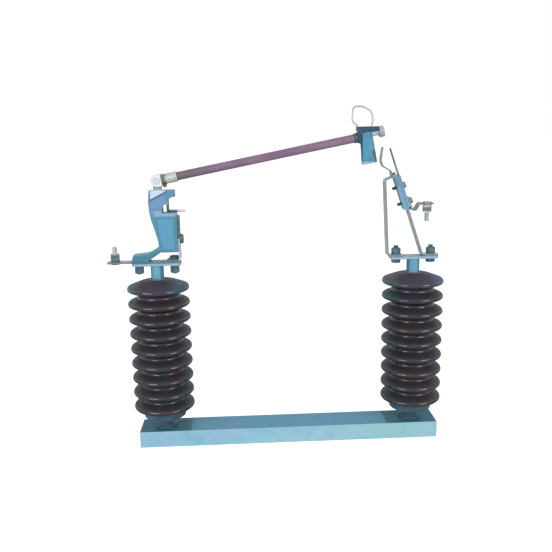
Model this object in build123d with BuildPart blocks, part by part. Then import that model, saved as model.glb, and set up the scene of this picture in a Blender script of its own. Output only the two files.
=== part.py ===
from build123d import *
import os

# Drop-out fuse on a steel channel: two ribbed post insulators, a hinge casting, a spring contact
# and a fuse tube that swings up and over on the hinge pin. Millimetres, +Z up.
# Origin: under the middle of the overall length and width, at the level of the channel's flange toes.
# X runs along the channel from the hinge side (-) to the contact side (+), Y points away from the front.

# Driving sizes
insulator_spacing = 600.0
channel_end = 59.0
channel_width = 75.0
channel_depth = 40.0
channel_web = 5.0
channel_flange = 6.5
channel_root_radius = 6.0

# Post insulators
sheds = 9
shed_pitch = 36.0
shed_radius = 72.0
shed_nose = 5.0
core_radius = 49.0
root_radius = 53.0
porcelain_foot_radius = 47.0
porcelain_crown_radius = 45.0
porcelain_crown_rise = 16.0
shed_fall_under = 9.0
shed_rise_over = 14.0
lowest_shed_height = 57.0
porcelain_top_rise = 21.0
porcelain_top_radius = 24.0
base_cup_radius = 50.0
base_cup_height = 17.0
base_cup_wall = 5.0
base_stem_radius = 17.0
base_stem_height = 30.0
base_foot_radius = 26.0
base_foot_thickness = 6.0

# Upper fittings: a stem cemented into the porcelain and a cross plate with two bolt holes
stem_radius = 15.0
stem_socket_depth = 30.0
stem_height = 33.5
cement_gap = 0.2
cross_plate_length = 112.0
cross_plate_width = 38.0
cross_plate_thickness = 6.0
cross_plate_corner = 5.0
cross_bolt_spacing = 82.0

# Hexagon hardware
m12_shank = 12.0
m12_core = 10.4
m12_flats = 19.0
m12_head = 7.5
m12_nut = 10.0
m12_locknut = 6.5
m12_washer_radius = 11.0
m12_washer = 2.5
m12_spring_washer_radius = 10.5
m12_spring_washer = 2.5
m12_tail = 6.0
m12_deep_nut = 14.0
m12_deep_tail = 2.0
m8_shank = 8.0
m8_flats = 13.0
m8_head = 5.5
m8_washer_radius = 8.0
m8_washer = 1.6
m8_tail = 10.0
base_bolt_shank = 20.0
base_bolt_flats = 30.0
base_bolt_head = 13.0
base_bolt_washer_radius = 20.0
base_bolt_washer = 3.0
base_bolt_grip_in_stem = 24.0
bolt_hole_clearance = 0.5

# Line terminal strip on the hinge side
strip_thickness = 4.0
strip_width = 25.0
line_strip_reach = 113.0
line_strip_inner = 54.0
line_stud_inset = 18.0
stud_head = 2.5
stud_head_radius = 10.0
stud_end_chamfer = 1.0
thread_runout = 0.5
line_stud_tail = 16.0

# Heights and axes that follow from the sizes above. The terminal strip overhangs the hinge side and
# the lowest sheds overhang the contact side, so the channel's middle lies a little to the right.
channel_middle = (line_strip_reach - shed_radius) / 2
left_axis = channel_middle - insulator_spacing / 2
right_axis = channel_middle + insulator_spacing / 2
channel_length = insulator_spacing + 2 * channel_end
lowest_shed = channel_depth + lowest_shed_height
highest_shed = lowest_shed + (sheds - 1) * shed_pitch
porcelain_top = highest_shed + porcelain_top_rise
cross_plate_bottom = porcelain_top + stem_height
cross_plate_top = cross_plate_bottom + cross_plate_thickness
deck = cross_plate_top + strip_thickness

# Hinge casting
casting_width = 34.0
cast_rounding = 1.0
neck_width = 26.0
head_width = 14.0
toe = -55.0
toe_height = 15.0
shin_height = 35.0
heel_edge = 52.5
heel_height = 21.0
ledge_height = 111.5
ledge_step = 6.0
beak_top = 162.5
beak_bottom = 144.0
beak_reach = 49.0
neck_left = -10.5
neck_right = 20.0
neck_corner = 4.0
pin_x = 11.0
pin_height = 184.0
head_radius = 9.0
pin_radius = 4.0
pin_clearance = 0.05
pin_end_gap = 0.3
pin_head = 2.5
pin_head_radius = 7.0
pocket_depth = 2.0
pocket_rim = 6.0
foot_stud_depth = 10.0
strap_thickness = 4.0
strap_width = 28.0
strap_below_ledge = 8.0
strap_foot = 30.0
strap_bolt_height = 50.0
strap_bolt_depth = 20.0
keeper_offset = 12.0
keeper_thickness = 4.0
keeper_width = 20.0
keeper_height = 18.5
ledge_rod_radius = 3.0
ledge_rod_start = 35.0
ledge_rod_end = 72.0

# Fuse carrier, measured along the tube from the hinge pin
tube_tilt = 10.65
tube_radius = 9.5
tube_bore = 6.5
ferrule_start = 19.0
ferrule_end = 46.5
ferrule_wall = 2.3
tube_end = 455.0
collar_plate = 8.2
collar_height = 23.0
collar_width = 26.0
cheek_thickness = 5.0
cheek_gap = 0.5
cheek_radius = 14.0
shoe_width = 16.0
shoe_length = 8.0
shoe_drop = 6.5
upper_collar_length = 9.0
upper_collar_wall = 1.5
fitting_width = 24.0
fitting_length = 34.0
tube_in_fitting = 24.0
bar_rise = 24.5
bar_thickness = 9.5
bar_front = 2.5
bar_length = 48.0
cap_rise = 3.0
cap_neck_radius = 7.0
cap_neck_length = 14.5
cap_radius = 12.5
cap_length = 12.5
cap_chamfer = 1.5
ring_wire = 3.6
ring_height = 46.0
ring_width = 47.0
ring_bulge = 12.0
ring_foot_spacing = 32.5
ring_foot_rise = 3.0

# Contact blade: a horseshoe section that narrows towards the fitting
blade_sheet = 3.0
blade_drop = 70.0
blade_top_width = 25.0
blade_bottom_width = 34.0
blade_start = 8.0
blade_nose_at = 34.0

# Contact side
arm_width = 25.0
arm_tilt = 18.5
arm_foot_end = 57.0
bend_radius = 8.0
block_x = -25.0
block_z = 106.5
block_thickness = 7.0
block_length = 81.0
clamp_thickness = 4.0
clamp_start = 5.0
upper_bolt_below_top = 25.0
lower_bolt_at = 17.0
lug_above_bolt = 11.0
lug_end_x = 42.0
load_stud_x = 30.0
load_terminal_z = 122.0
load_stud_tail = 21.0
stay_thickness = 4.0
stay_x = -62.0
stay_foot_end = -25.0
stay_overhang = 20.5
stay_bend = 6.0
finger_thickness = 2.5
finger_width = 20.0
finger_seat_overhang = 3.5
finger_line = ((-1.0, 10.5), (-20.5, 22.5), (-25.0, 35.0), (-21.0, 65.0))
finger_bends = (2, 3, 5, 20)
horn_radius = 2.4
horn_length = 65.0
contact_screw_radius = 3.0
contact_screw_head_radius = 4.5
contact_screw_head = 3.0
contact_screw_depth = 14.0


def upright(x, z=0.0):
    """A vertical plane facing the front, with its origin at x and z: its own x runs right, its y up."""
    return Plane(origin=(x, 0, z), x_dir=(1, 0, 0), z_dir=(0, -1, 0))


def save(label, piece):
    piece.part.label = label
    export_step(piece.part, f"parts/{label}.step")


def fastener(label, seat, grip, size, head=True, head_washer=True, nut=True, tail=0.0):
    """A bolt that is pushed in along the seat plane's normal: its head and washer stay behind the plane."""
    shank, flats, head_height, nut_height, washer_radius, washer, spring_radius, spring = size
    with BuildPart() as bolt:
        with BuildSketch(seat):
            Circle(shank / 2)
        extrude(amount=grip + (washer + spring + nut_height if nut else 0.0) + tail)
        if head_washer:
            with BuildSketch(seat):
                Circle(washer_radius)
            extrude(amount=-washer)
        if head:
            with BuildSketch(seat.offset(-washer if head_washer else 0)):
                RegularPolygon(radius=flats / 2, side_count=6, major_radius=False, rotation=30)
            extrude(amount=-head_height)
        if nut:
            with BuildSketch(seat.offset(grip)):
                Circle(washer_radius)
            extrude(amount=washer)
            with BuildSketch(seat.offset(grip + washer)):
                Circle(spring_radius)
            extrude(amount=spring)
            with BuildSketch(seat.offset(grip + washer + spring)):
                RegularPolygon(radius=flats / 2, side_count=6, major_radius=False, rotation=30)
            extrude(amount=nut_height)
    save(label, bolt)


m12 = (
    m12_shank, m12_flats, m12_head, m12_nut,
    m12_washer_radius, m12_washer, m12_spring_washer_radius, m12_spring_washer,
)
m12_deep = (
    m12_shank, m12_flats, m12_head, m12_deep_nut,
    m12_washer_radius, m12_washer, m12_spring_washer_radius, m12_spring_washer,
)
m8 = (m8_shank, m8_flats, m8_head, 0.0, m8_washer_radius, m8_washer, m8_washer_radius, 0.0)

os.makedirs("parts", exist_ok=True)

# Channel base: web on top, flanges down, standing on its flange toes
with BuildPart() as channel:
    with BuildSketch(Plane.YZ.offset(channel_middle)):
        with Locations((0, channel_depth / 2)):
            Rectangle(channel_width, channel_depth)
        with Locations((0, (channel_depth - channel_web) / 2)):
            Rectangle(
                channel_width - 2 * channel_flange, channel_depth - channel_web, mode=Mode.SUBTRACT
            )
    extrude(amount=channel_length / 2, both=True)
    roots = channel.edges().filter_by(Axis.X).filter_by(
        lambda edge: abs(edge.center().Z - (channel_depth - channel_web)) < 0.01
        and abs(edge.center().Y) < channel_width / 2 - 1
    )
    fillet(roots, radius=channel_root_radius)
    with Locations((left_axis, 0, channel_depth), (right_axis, 0, channel_depth)):
        Hole(radius=base_bolt_shank / 2 + bolt_hole_clearance, depth=2 * channel_web)
save("base_channel", channel)

# Insulators with their fittings, one set on each side
for side, axis_x in (("left", left_axis), ("right", right_axis)):
    spin = Axis((axis_x, 0, 0), (0, 0, 1))
    cup_floor = channel_depth + base_stem_height
    cup_top = cup_floor + base_cup_height
    porcelain_bottom = cup_floor + base_cup_wall
    bolt_depth = base_bolt_grip_in_stem + channel_web

    with BuildPart() as base_fitting:
        with BuildSketch(upright(axis_x)):
            with BuildLine():
                Polyline(
                    (0, channel_depth),
                    (base_foot_radius, channel_depth),
                    (base_foot_radius, channel_depth + base_foot_thickness),
                    (base_stem_radius, channel_depth + base_foot_thickness),
                    (base_stem_radius, cup_floor),
                    (base_cup_radius, cup_floor),
                    (base_cup_radius, cup_top),
                    (porcelain_foot_radius, cup_top),
                    (porcelain_foot_radius, porcelain_bottom),
                    (0, porcelain_bottom),
                    close=True,
                )
            make_face()
        revolve(axis=spin)
        with BuildSketch(Plane.XY.offset(channel_depth)):
            with Locations((axis_x, 0)):
                Circle(base_bolt_shank / 2 + cement_gap)
        extrude(amount=base_bolt_grip_in_stem, mode=Mode.SUBTRACT)
    save(f"{side}_base_fitting", base_fitting)

    # Round-nosed sheds, sloping down to the rim above and rising to it below, with hollow valleys between
    with BuildPart() as insulator:
        with BuildSketch(upright(axis_x)):
            with BuildLine():
                foot = porcelain_foot_radius - cement_gap
                Line((0, porcelain_bottom), (foot, porcelain_bottom))
                Line((foot, porcelain_bottom), (foot, lowest_shed - shed_fall_under))
                for number in range(sheds):
                    rim = lowest_shed + number * shed_pitch
                    nose = shed_radius - shed_nose
                    under = (root_radius if number else foot, rim - shed_fall_under)
                    Line(under, (nose, rim - shed_nose))
                    ThreePointArc((nose, rim - shed_nose), (shed_radius, rim), (nose, rim + shed_nose))
                    if number < sheds - 1:
                        over = (root_radius, rim + shed_rise_over)
                        valley_end = rim + shed_pitch - shed_fall_under
                        valley_middle = (rim + shed_rise_over + valley_end) / 2
                        Line((nose, rim + shed_nose), over)
                        ThreePointArc(
                            over, (core_radius, valley_middle), (root_radius, valley_end)
                        )
                    else:
                        crown = (porcelain_crown_radius, rim + porcelain_crown_rise)
                        Line((nose, rim + shed_nose), crown)
                        Line(crown, (porcelain_top_radius, porcelain_top))
                Line((porcelain_top_radius, porcelain_top), (0, porcelain_top))
                Line((0, porcelain_top), (0, porcelain_bottom))
            make_face()
        revolve(axis=spin)
        with BuildSketch(Plane.XY.offset(porcelain_top)):
            with Locations((axis_x, 0)):
                Circle(stem_radius + cement_gap)
        extrude(amount=-stem_socket_depth, mode=Mode.SUBTRACT)
    save(f"{side}_insulator", insulator)

    with BuildPart() as top_fitting:
        with BuildSketch(Plane.XY.offset(porcelain_top - stem_socket_depth)):
            with Locations((axis_x, 0)):
                Circle(stem_radius)
        extrude(amount=stem_socket_depth + stem_height)
        with BuildSketch(Plane.XY.offset(cross_plate_bottom)):
            with Locations((axis_x, 0)):
                RectangleRounded(cross_plate_length, cross_plate_width, cross_plate_corner)
            with Locations(
                (axis_x - cross_bolt_spacing / 2, 0), (axis_x + cross_bolt_spacing / 2, 0)
            ):
                Circle(m12_shank / 2 + bolt_hole_clearance, mode=Mode.SUBTRACT)
        extrude(amount=cross_plate_thickness)
    save(f"{side}_top_fitting", top_fitting)

    with BuildPart() as base_bolt:
        head_seat = channel_depth - channel_web - base_bolt_washer
        with BuildSketch(Plane.XY.offset(head_seat)):
            with Locations((axis_x, 0)):
                RegularPolygon(radius=base_bolt_flats / 2, side_count=6, major_radius=False, rotation=30)
        extrude(amount=-base_bolt_head)
        with BuildSketch(Plane.XY.offset(head_seat)):
            with Locations((axis_x, 0)):
                Circle(base_bolt_washer_radius)
        extrude(amount=base_bolt_washer)
        with BuildSketch(Plane.XY.offset(head_seat)):
            with Locations((axis_x, 0)):
                Circle(base_bolt_shank / 2)
        extrude(amount=base_bolt_washer + bolt_depth)
    save(f"{side}_base_bolt", base_bolt)

# Line terminal strip, lying on the left cross plate and running out past its toe
left_bolt_x = left_axis - cross_bolt_spacing / 2
heel_bolt_x = left_axis + cross_bolt_spacing / 2
line_stud_x = left_axis - line_strip_reach + line_stud_inset
with BuildPart() as line_strip:
    with BuildSketch(Plane.XY.offset(cross_plate_top)):
        with Locations((left_axis + (line_strip_inner - line_strip_reach) / 2, 0)):
            RectangleRounded(line_strip_reach + line_strip_inner, strip_width, cross_plate_corner)
        with Locations((left_bolt_x, 0), (heel_bolt_x, 0), (line_stud_x, 0)):
            Circle(m12_shank / 2 + bolt_hole_clearance, mode=Mode.SUBTRACT)
    extrude(amount=strip_thickness)
save("line_terminal_strip", line_strip)


def terminal(prefix, seat, tail):
    """A stud with a thin round head under the strip, and a washer, nut and locknut on the far side."""
    nut_end = strip_thickness + m12_washer + m12_nut
    stack_end = nut_end + m12_locknut
    with BuildPart() as stud:
        with BuildSketch(seat):
            Circle(stud_head_radius)
        extrude(amount=-stud_head)
        with BuildSketch(seat):
            Circle(m12_core / 2)
        extrude(amount=stack_end + thread_runout)
        with BuildSketch(seat.offset(stack_end + thread_runout)):
            Circle(m12_shank / 2)
        extrude(amount=tail - thread_runout)
        chamfer(stud.faces().sort_by(Axis(seat.origin, seat.z_dir))[-1].edges(), length=stud_end_chamfer)
    save(f"{prefix}_terminal_stud", stud)
    bore = m12_core / 2 + cement_gap
    with BuildPart() as nut:
        with BuildSketch(seat.offset(strip_thickness)):
            Circle(m12_washer_radius)
            Circle(bore, mode=Mode.SUBTRACT)
        extrude(amount=m12_washer)
        for start, height, turn in ((strip_thickness + m12_washer, m12_nut, 30), (nut_end, m12_locknut, 12)):
            with BuildSketch(seat.offset(start)):
                RegularPolygon(radius=m12_flats / 2, side_count=6, major_radius=False, rotation=turn)
                Circle(bore, mode=Mode.SUBTRACT)
            extrude(amount=height)
    save(f"{prefix}_terminal_nut", nut)


terminal("line", Plane((line_stud_x, 0, cross_plate_top)), line_stud_tail)

# Hinge casting: a foot on the strip, an arch, a broad leg with pockets, a neck, a beak and a round head
casting = upright(left_axis, deck)
shoulder = beak_top - 8
lug_right = neck_right + keeper_offset + keeper_thickness / 2
lug_bottom = ledge_height + keeper_height
strap_top = ledge_height - strap_below_ledge
with BuildPart() as hinge_casting:
    with BuildSketch(casting):
        with BuildLine():
            foot_top = Polyline((toe, 0), (toe + 3, toe_height), (-20, toe_height + 3))
            shin = Spline(
                foot_top @ 1, (-3, 26), (8.5, shin_height + 2), tangents=[(1, 0.15), (0.25, 1)]
            )
            back = Spline(
                shin @ 1,
                (-2.6, 85),
                (neck_left, 137),
                (neck_left + 2.5, beak_top),
                tangents=[(-0.1, 1), (0.15, 1)],
            )
            Polyline(
                back @ 1,
                (beak_reach, beak_top),
                (beak_reach, beak_bottom + 3),
                (beak_reach - 5, beak_bottom + 3),
                (beak_reach - 10, beak_bottom),
                (lug_right, beak_bottom),
                (lug_right, lug_bottom),
                (neck_right + neck_corner, lug_bottom),
            )
            RadiusArc(
                (neck_right + neck_corner, lug_bottom), (neck_right, lug_bottom - neck_corner), neck_corner
            )
            Polyline(
                (neck_right, lug_bottom - neck_corner),
                (neck_right, ledge_height),
                (heel_edge - 2, ledge_height),
                (heel_edge - 2, ledge_height - ledge_step),
                (heel_edge, ledge_height - ledge_step),
                (heel_edge, heel_height),
                (12, heel_height),
                (-14, 3.5),
                (-17, 0),
                (toe, 0),
            )
        make_face()
    extrude(amount=casting_width / 2, both=True)
    # The neck and beak are narrower than the leg
    for face in (casting.offset(neck_width / 2), casting.offset(-casting_width / 2)):
        with BuildSketch(face):
            with Locations((pin_x, (ledge_height + 8 + beak_top + 1) / 2)):
                Rectangle(100, beak_top + 1 - ledge_height - 8)
        extrude(amount=(casting_width - neck_width) / 2, mode=Mode.SUBTRACT)
    # The head stands on the neck and is narrow enough to lie between the fork's cheeks
    with BuildSketch(casting):
        with Locations((pin_x, pin_height)):
            Circle(head_radius)
        with Locations((pin_x, (shoulder + pin_height) / 2)):
            Rectangle(2 * head_radius, pin_height - shoulder)
    extrude(amount=head_width / 2, both=True)
    # Pockets in both faces of the leg leave a web with a rim round it
    for face in (casting.offset(casting_width / 2 - pocket_depth), casting.offset(-casting_width / 2)):
        with BuildSketch(face) as pocket:
            with BuildLine():
                Polyline(
                    (heel_edge - pocket_rim, heel_height + pocket_rim),
                    (heel_edge - pocket_rim, ledge_height - 2 * pocket_rim),
                    (4, ledge_height - 2 * pocket_rim),
                    (17, heel_height + pocket_rim),
                    close=True,
                )
            make_face()
            fillet(pocket.vertices(), radius=4)
        extrude(amount=pocket_depth, mode=Mode.SUBTRACT)
    with BuildSketch(casting.offset(-casting_width / 2)):
        with Locations((pin_x, pin_height)):
            Circle(pin_radius + pin_clearance)
    extrude(amount=casting_width, mode=Mode.SUBTRACT)
    with BuildSketch(Plane.XY.offset(deck)):
        with Locations((left_bolt_x, 0)):
            Circle(m12_shank / 2 + cement_gap)
    extrude(amount=foot_stud_depth + 1, mode=Mode.SUBTRACT)
    strap_face = Plane(
        origin=(left_axis + heel_edge, 0, deck + strap_bolt_height), z_dir=(-1, 0, 0)
    )
    with BuildSketch(strap_face):
        Circle(m12_shank / 2 + cement_gap)
    extrude(amount=strap_bolt_depth + 1, mode=Mode.SUBTRACT)
    # The mould leaves the outline of the leg and of its pockets rounded on both faces
    outline = hinge_casting.edges().filter_by(
        lambda edge: abs(abs(edge.center().Y) - casting_width / 2) < 0.01
        and edge.bounding_box().size.Y < 0.01
    )
    fillet(outline, radius=cast_rounding)
save("hinge_casting", hinge_casting)

# Heel strap: an angle under the heel bolt, bolted to the back of the leg
strap_x = left_axis + heel_edge + strap_thickness / 2
with BuildPart() as heel_strap:
    with BuildSketch(upright(0)):
        with BuildLine():
            FilletPolyline(
                (strap_x - strap_foot, deck + strap_thickness / 2),
                (strap_x, deck + strap_thickness / 2),
                (strap_x, deck + strap_top),
                radius=strap_thickness,
            )
        trace(line_width=strap_thickness)
    extrude(amount=strap_width / 2, both=True)
    with Locations(Plane((heel_bolt_x, 0, deck))):
        Hole(radius=m12_shank / 2 + bolt_hole_clearance, depth=3 * strap_thickness)
    with Locations(strap_face):
        Hole(radius=m12_shank / 2 + bolt_hole_clearance, depth=3 * strap_thickness)
save("heel_strap", heel_strap)

fastener(
    "heel_strap_bolt",
    Plane(origin=(left_axis + heel_edge + strap_thickness, 0, deck + strap_bolt_height), z_dir=(-1, 0, 0)),
    strap_thickness + strap_bolt_depth,
    m12,
    head_washer=False,
    nut=False,
)
fastener(
    "heel_bolt",
    Plane(origin=(heel_bolt_x, 0, deck + strap_thickness), z_dir=(0, 0, -1)),
    strap_thickness + strip_thickness + cross_plate_thickness,
    m12_deep,
    head_washer=False,
    tail=m12_deep_tail,
)
fastener(
    "foot_stud",
    Plane(origin=(left_bolt_x, 0, deck + foot_stud_depth), z_dir=(0, 0, -1)),
    foot_stud_depth + strip_thickness + cross_plate_thickness,
    m12_deep,
    head=False,
    head_washer=False,
    tail=m12_deep_tail,
)

# Rod lying on the ledge, and the keeper bar that stands on the ledge below the beak
with BuildPart() as ledge_rod:
    rod_plane = Plane(
        origin=(left_axis + ledge_rod_start, 0, deck + ledge_height + ledge_rod_radius), z_dir=(1, 0, 0)
    )
    with BuildSketch(rod_plane):
        Circle(ledge_rod_radius)
    extrude(amount=ledge_rod_end - ledge_rod_start)
save("ledge_rod", ledge_rod)

# Hinge pin, held in the casting's head
cheek_inner = head_width / 2 + cheek_gap
cheek_outer = cheek_inner + cheek_thickness
pin_plane = upright(left_axis + pin_x, deck + pin_height)
pin_reach = cheek_outer + pin_end_gap
with BuildPart() as hinge_pin:
    with BuildSketch(pin_plane):
        Circle(pin_radius)
    extrude(amount=pin_reach, both=True)
    for outward in (1, -1):
        with BuildSketch(pin_plane.offset(outward * pin_reach)):
            Circle(pin_head_radius)
        extrude(amount=outward * pin_head)
save("hinge_pin", hinge_pin)

# Fuse carrier: everything below turns on the hinge pin
pin_point = Vector(left_axis + pin_x, 0, deck + pin_height)
tube_direction = Vector(1, 0, 0).rotate(Axis.Y, -tube_tilt)
tube_normal = Vector(0, 0, 1).rotate(Axis.Y, -tube_tilt)
carrier = Plane(origin=pin_point, x_dir=tube_direction, z_dir=(0, -1, 0))
collar_start = ferrule_start - collar_plate


def along(distance, rise=0.0):
    """A plane across the tube, at a distance from the hinge pin and a rise above the tube's axis."""
    origin = pin_point + tube_direction * distance + tube_normal * rise
    return Plane(origin=origin, x_dir=(0, 1, 0), z_dir=tube_direction)


def across(distance, offset):
    """A plane that faces down from the tube, at a distance from the hinge pin and an offset above the axis."""
    origin = pin_point + tube_direction * distance + tube_normal * offset
    return Plane(origin=origin, x_dir=tube_direction, z_dir=tube_normal * -1)


for name, inner in (("front", cheek_inner), ("back", -cheek_outer)):
    with BuildPart() as cheek:
        with BuildSketch(carrier.offset(inner)):
            Circle(cheek_radius)
            with Locations((collar_start / 2, 0)):
                Rectangle(collar_start, 2 * cheek_radius)
            with Locations((collar_start + 5, 0)):
                Rectangle(10, 3 * cheek_radius, mode=Mode.SUBTRACT)
            Circle(pin_radius + pin_clearance, mode=Mode.SUBTRACT)
        extrude(amount=cheek_thickness)
    save(f"{name}_fork_cheek", cheek)

with BuildPart() as lower_collar:
    with BuildSketch(along(collar_start)):
        RectangleRounded(collar_width, collar_height, 3)
        Circle(tube_bore, mode=Mode.SUBTRACT)
    extrude(amount=collar_plate)
save("lower_collar", lower_collar)

with BuildPart() as contact_shoe:
    with BuildSketch(carrier):
        with Locations((ferrule_start - shoe_length / 2, -collar_height / 2 - shoe_drop / 2)):
            RectangleRounded(shoe_length, shoe_drop, 1.5)
    extrude(amount=shoe_width / 2, both=True)
save("contact_shoe", contact_shoe)

with BuildPart() as lower_ferrule:
    with BuildSketch(along(ferrule_start)):
        Circle(tube_radius + ferrule_wall)
        Circle(tube_radius, mode=Mode.SUBTRACT)
    extrude(amount=ferrule_end - ferrule_start)
    chamfer(lower_ferrule.edges().sort_by(Axis.X)[-1], length=1)
save("lower_ferrule", lower_ferrule)

tube_length = tube_end + upper_collar_length + tube_in_fitting - ferrule_start
with BuildPart() as fuse_tube:
    with BuildSketch(along(ferrule_start)):
        Circle(tube_radius)
        Circle(tube_bore, mode=Mode.SUBTRACT)
    extrude(amount=tube_length)
save("fuse_tube", fuse_tube)

with BuildPart() as upper_collar:
    with BuildSketch(along(tube_end)):
        Circle(tube_radius + upper_collar_wall)
        Circle(tube_radius, mode=Mode.SUBTRACT)
    extrude(amount=upper_collar_length)
save("upper_collar", upper_collar)

# Upper fitting: a clamp round the tube's end under a level bar
fitting_start = tube_end + upper_collar_length
fitting_point = pin_point + tube_direction * fitting_start
fitting = upright(fitting_point.X, fitting_point.Z)
blade_half = fitting_width / 2 + blade_sheet
nose_centre = fitting_start + blade_nose_at - blade_half
fitting_body = blade_nose_at - blade_half
with BuildPart() as upper_fitting:
    with BuildSketch(carrier):
        with Locations((fitting_start + fitting_body / 2, 0)):
            Rectangle(fitting_body, fitting_width)
        with BuildLine():
            Polyline(
                (fitting_start, -fitting_width / 2),
                (fitting_start + 12, -fitting_width / 2 - 8),
                (fitting_start + 16, -fitting_width / 2),
                close=True,
            )
        make_face()
    extrude(amount=fitting_width / 2, both=True)
    with BuildSketch(fitting):
        with Locations((bar_length / 2 - bar_front, bar_rise - bar_thickness / 2)):
            Rectangle(bar_length, bar_thickness)
        with Locations((fitting_body / 2 - 1.5, bar_rise / 2)):
            Rectangle(fitting_body - 3, bar_rise)
    extrude(amount=fitting_width / 2, both=True)
    with BuildSketch(across(nose_centre, -fitting_width / 2)):
        Circle(fitting_width / 2)
    extrude(amount=-(fitting_width / 2 + bar_rise - bar_thickness))
    with BuildSketch(along(fitting_start)):
        Circle(tube_radius)
    extrude(amount=tube_in_fitting, mode=Mode.SUBTRACT)
    with BuildSketch(along(fitting_start + tube_in_fitting, cap_rise)):
        Circle(cap_neck_radius)
    extrude(amount=fitting_length, mode=Mode.SUBTRACT)
save("upper_fitting", upper_fitting)

with BuildPart() as end_cap:
    with BuildSketch(along(fitting_start + tube_in_fitting, cap_rise)):
        Circle(cap_neck_radius)
    extrude(amount=fitting_length - tube_in_fitting + cap_neck_length)
    with BuildSketch(along(fitting_start + fitting_length + cap_neck_length, cap_rise)):
        Circle(cap_radius)
    extrude(amount=cap_length)
    chamfer(end_cap.edges().filter_by(GeomType.CIRCLE).group_by(SortBy.RADIUS)[-1], length=cap_chamfer)
save("end_cap", end_cap)

# Pull ring: a stout wire loop on the bar, for a hook stick
bar_top = fitting_point.Z + bar_rise
ring_foot = fitting_point.X - bar_front + ring_wire / 2
ring_left = ring_foot - ring_bulge
ring_right = ring_left + ring_width
ring_top = bar_top + ring_height - ring_wire / 2
ring_path = [
    (ring_foot, bar_top),
    (ring_foot, bar_top + ring_foot_rise),
    (ring_left, bar_top + 0.22 * ring_height),
    (ring_left + 1.5, ring_top),
    (ring_left + ring_width / 2, ring_top),
    (ring_right - 3, bar_top + 0.72 * ring_height),
    (ring_right, bar_top + 0.3 * ring_height),
    (ring_foot + ring_foot_spacing, bar_top + ring_foot_rise),
    (ring_foot + ring_foot_spacing, bar_top),
]
ring_radii = (4, 12, 8, 18, 16, 10, 4)
with BuildPart() as pull_ring:
    with BuildLine(upright(0)):
        FilletPolyline(*ring_path, radius=ring_radii)
    with BuildSketch(Plane.XY.offset(bar_top)):
        with Locations((ring_foot, 0)):
            Circle(ring_wire / 2)
    sweep()
save("pull_ring", pull_ring)

# Contact blade: sheet bent to a horseshoe round the fitting, its nose towards the spring finger
blade_sides = blade_bottom_width - blade_half
with BuildPart() as contact_blade:
    with BuildSketch(across(nose_centre, blade_start)):
        Circle(blade_half)
        with Locations((-blade_sides / 2, 0)):
            Rectangle(blade_sides, 2 * blade_half)
        Circle(fitting_width / 2, mode=Mode.SUBTRACT)
        with Locations((-blade_sides / 2, 0)):
            Rectangle(blade_sides, fitting_width, mode=Mode.SUBTRACT)
    extrude(amount=blade_drop)
    # The open edges slant back towards the bottom
    with BuildSketch(carrier):
        nose = nose_centre + blade_half
        with BuildLine():
            Polyline(
                (nose - blade_top_width, blade_start + 1),
                (nose - blade_bottom_width, blade_start - blade_drop),
                (nose - blade_bottom_width - 20, blade_start - blade_drop),
                (nose - blade_bottom_width - 20, blade_start + 1),
                close=True,
            )
        make_face()
    extrude(amount=blade_half, both=True, mode=Mode.SUBTRACT)
    # A slot in the nose straddles the neck of the end cap
    with BuildSketch(along(nose_centre, cap_rise)):
        Circle(cap_neck_radius + bolt_hole_clearance)
        with Locations((0, blade_start)):
            Rectangle(2 * (cap_neck_radius + bolt_hole_clearance), 2 * blade_start)
    extrude(amount=2 * blade_half, mode=Mode.SUBTRACT)
save("contact_blade", contact_blade)

# Contact side: a leaning arm carries the contact block, a lighter stay props its top
arm_bolt_x = right_axis + cross_bolt_spacing / 2
stay_bolt_x = right_axis - cross_bolt_spacing / 2
block_point = Vector(right_axis + block_x, 0, cross_plate_top + block_z)
arm_direction = Vector(0, 0, 1).rotate(Axis.Y, -arm_tilt)
arm_across = Vector(1, 0, 0).rotate(Axis.Y, -arm_tilt)
block = Plane(origin=block_point, x_dir=arm_across, z_dir=(0, -1, 0))


def block_to_world(across_block, up_block):
    point = block_point + arm_across * across_block + arm_direction * up_block
    return (point.X, point.Z)


def crosswise(up_block, across_block=0.0):
    """A plane on the block's left face that faces through the block."""
    origin = block_point + arm_direction * up_block + arm_across * across_block
    return Plane(origin=origin, x_dir=(0, 1, 0), z_dir=arm_across)


upper_bolt_at = block_length - upper_bolt_below_top
stack_bolts = (upper_bolt_at, lower_bolt_at)
stack = block_thickness + strip_thickness + clamp_thickness
bolt_bore = m8_shank / 2 + bolt_hole_clearance

with BuildPart() as contact_block:
    with BuildSketch(block):
        with Locations((block_thickness / 2, block_length / 2)):
            Rectangle(block_thickness, block_length)
    extrude(amount=arm_width / 2, both=True)
    chamfer(contact_block.edges().filter_by(Axis.Y).sort_by(Axis.Z)[0], length=3)
    for bolt_at in stack_bolts:
        with BuildSketch(crosswise(bolt_at)):
            Circle(bolt_bore)
        extrude(amount=block_thickness, mode=Mode.SUBTRACT)
    screw_line = Plane(
        origin=block_point + arm_direction * block_length + arm_across * (block_thickness / 2),
        z_dir=arm_direction,
    )
    with BuildSketch(screw_line):
        Circle(contact_screw_radius + cement_gap)
    extrude(amount=-contact_screw_depth - 1, mode=Mode.SUBTRACT)
save("contact_block", contact_block)

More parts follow.
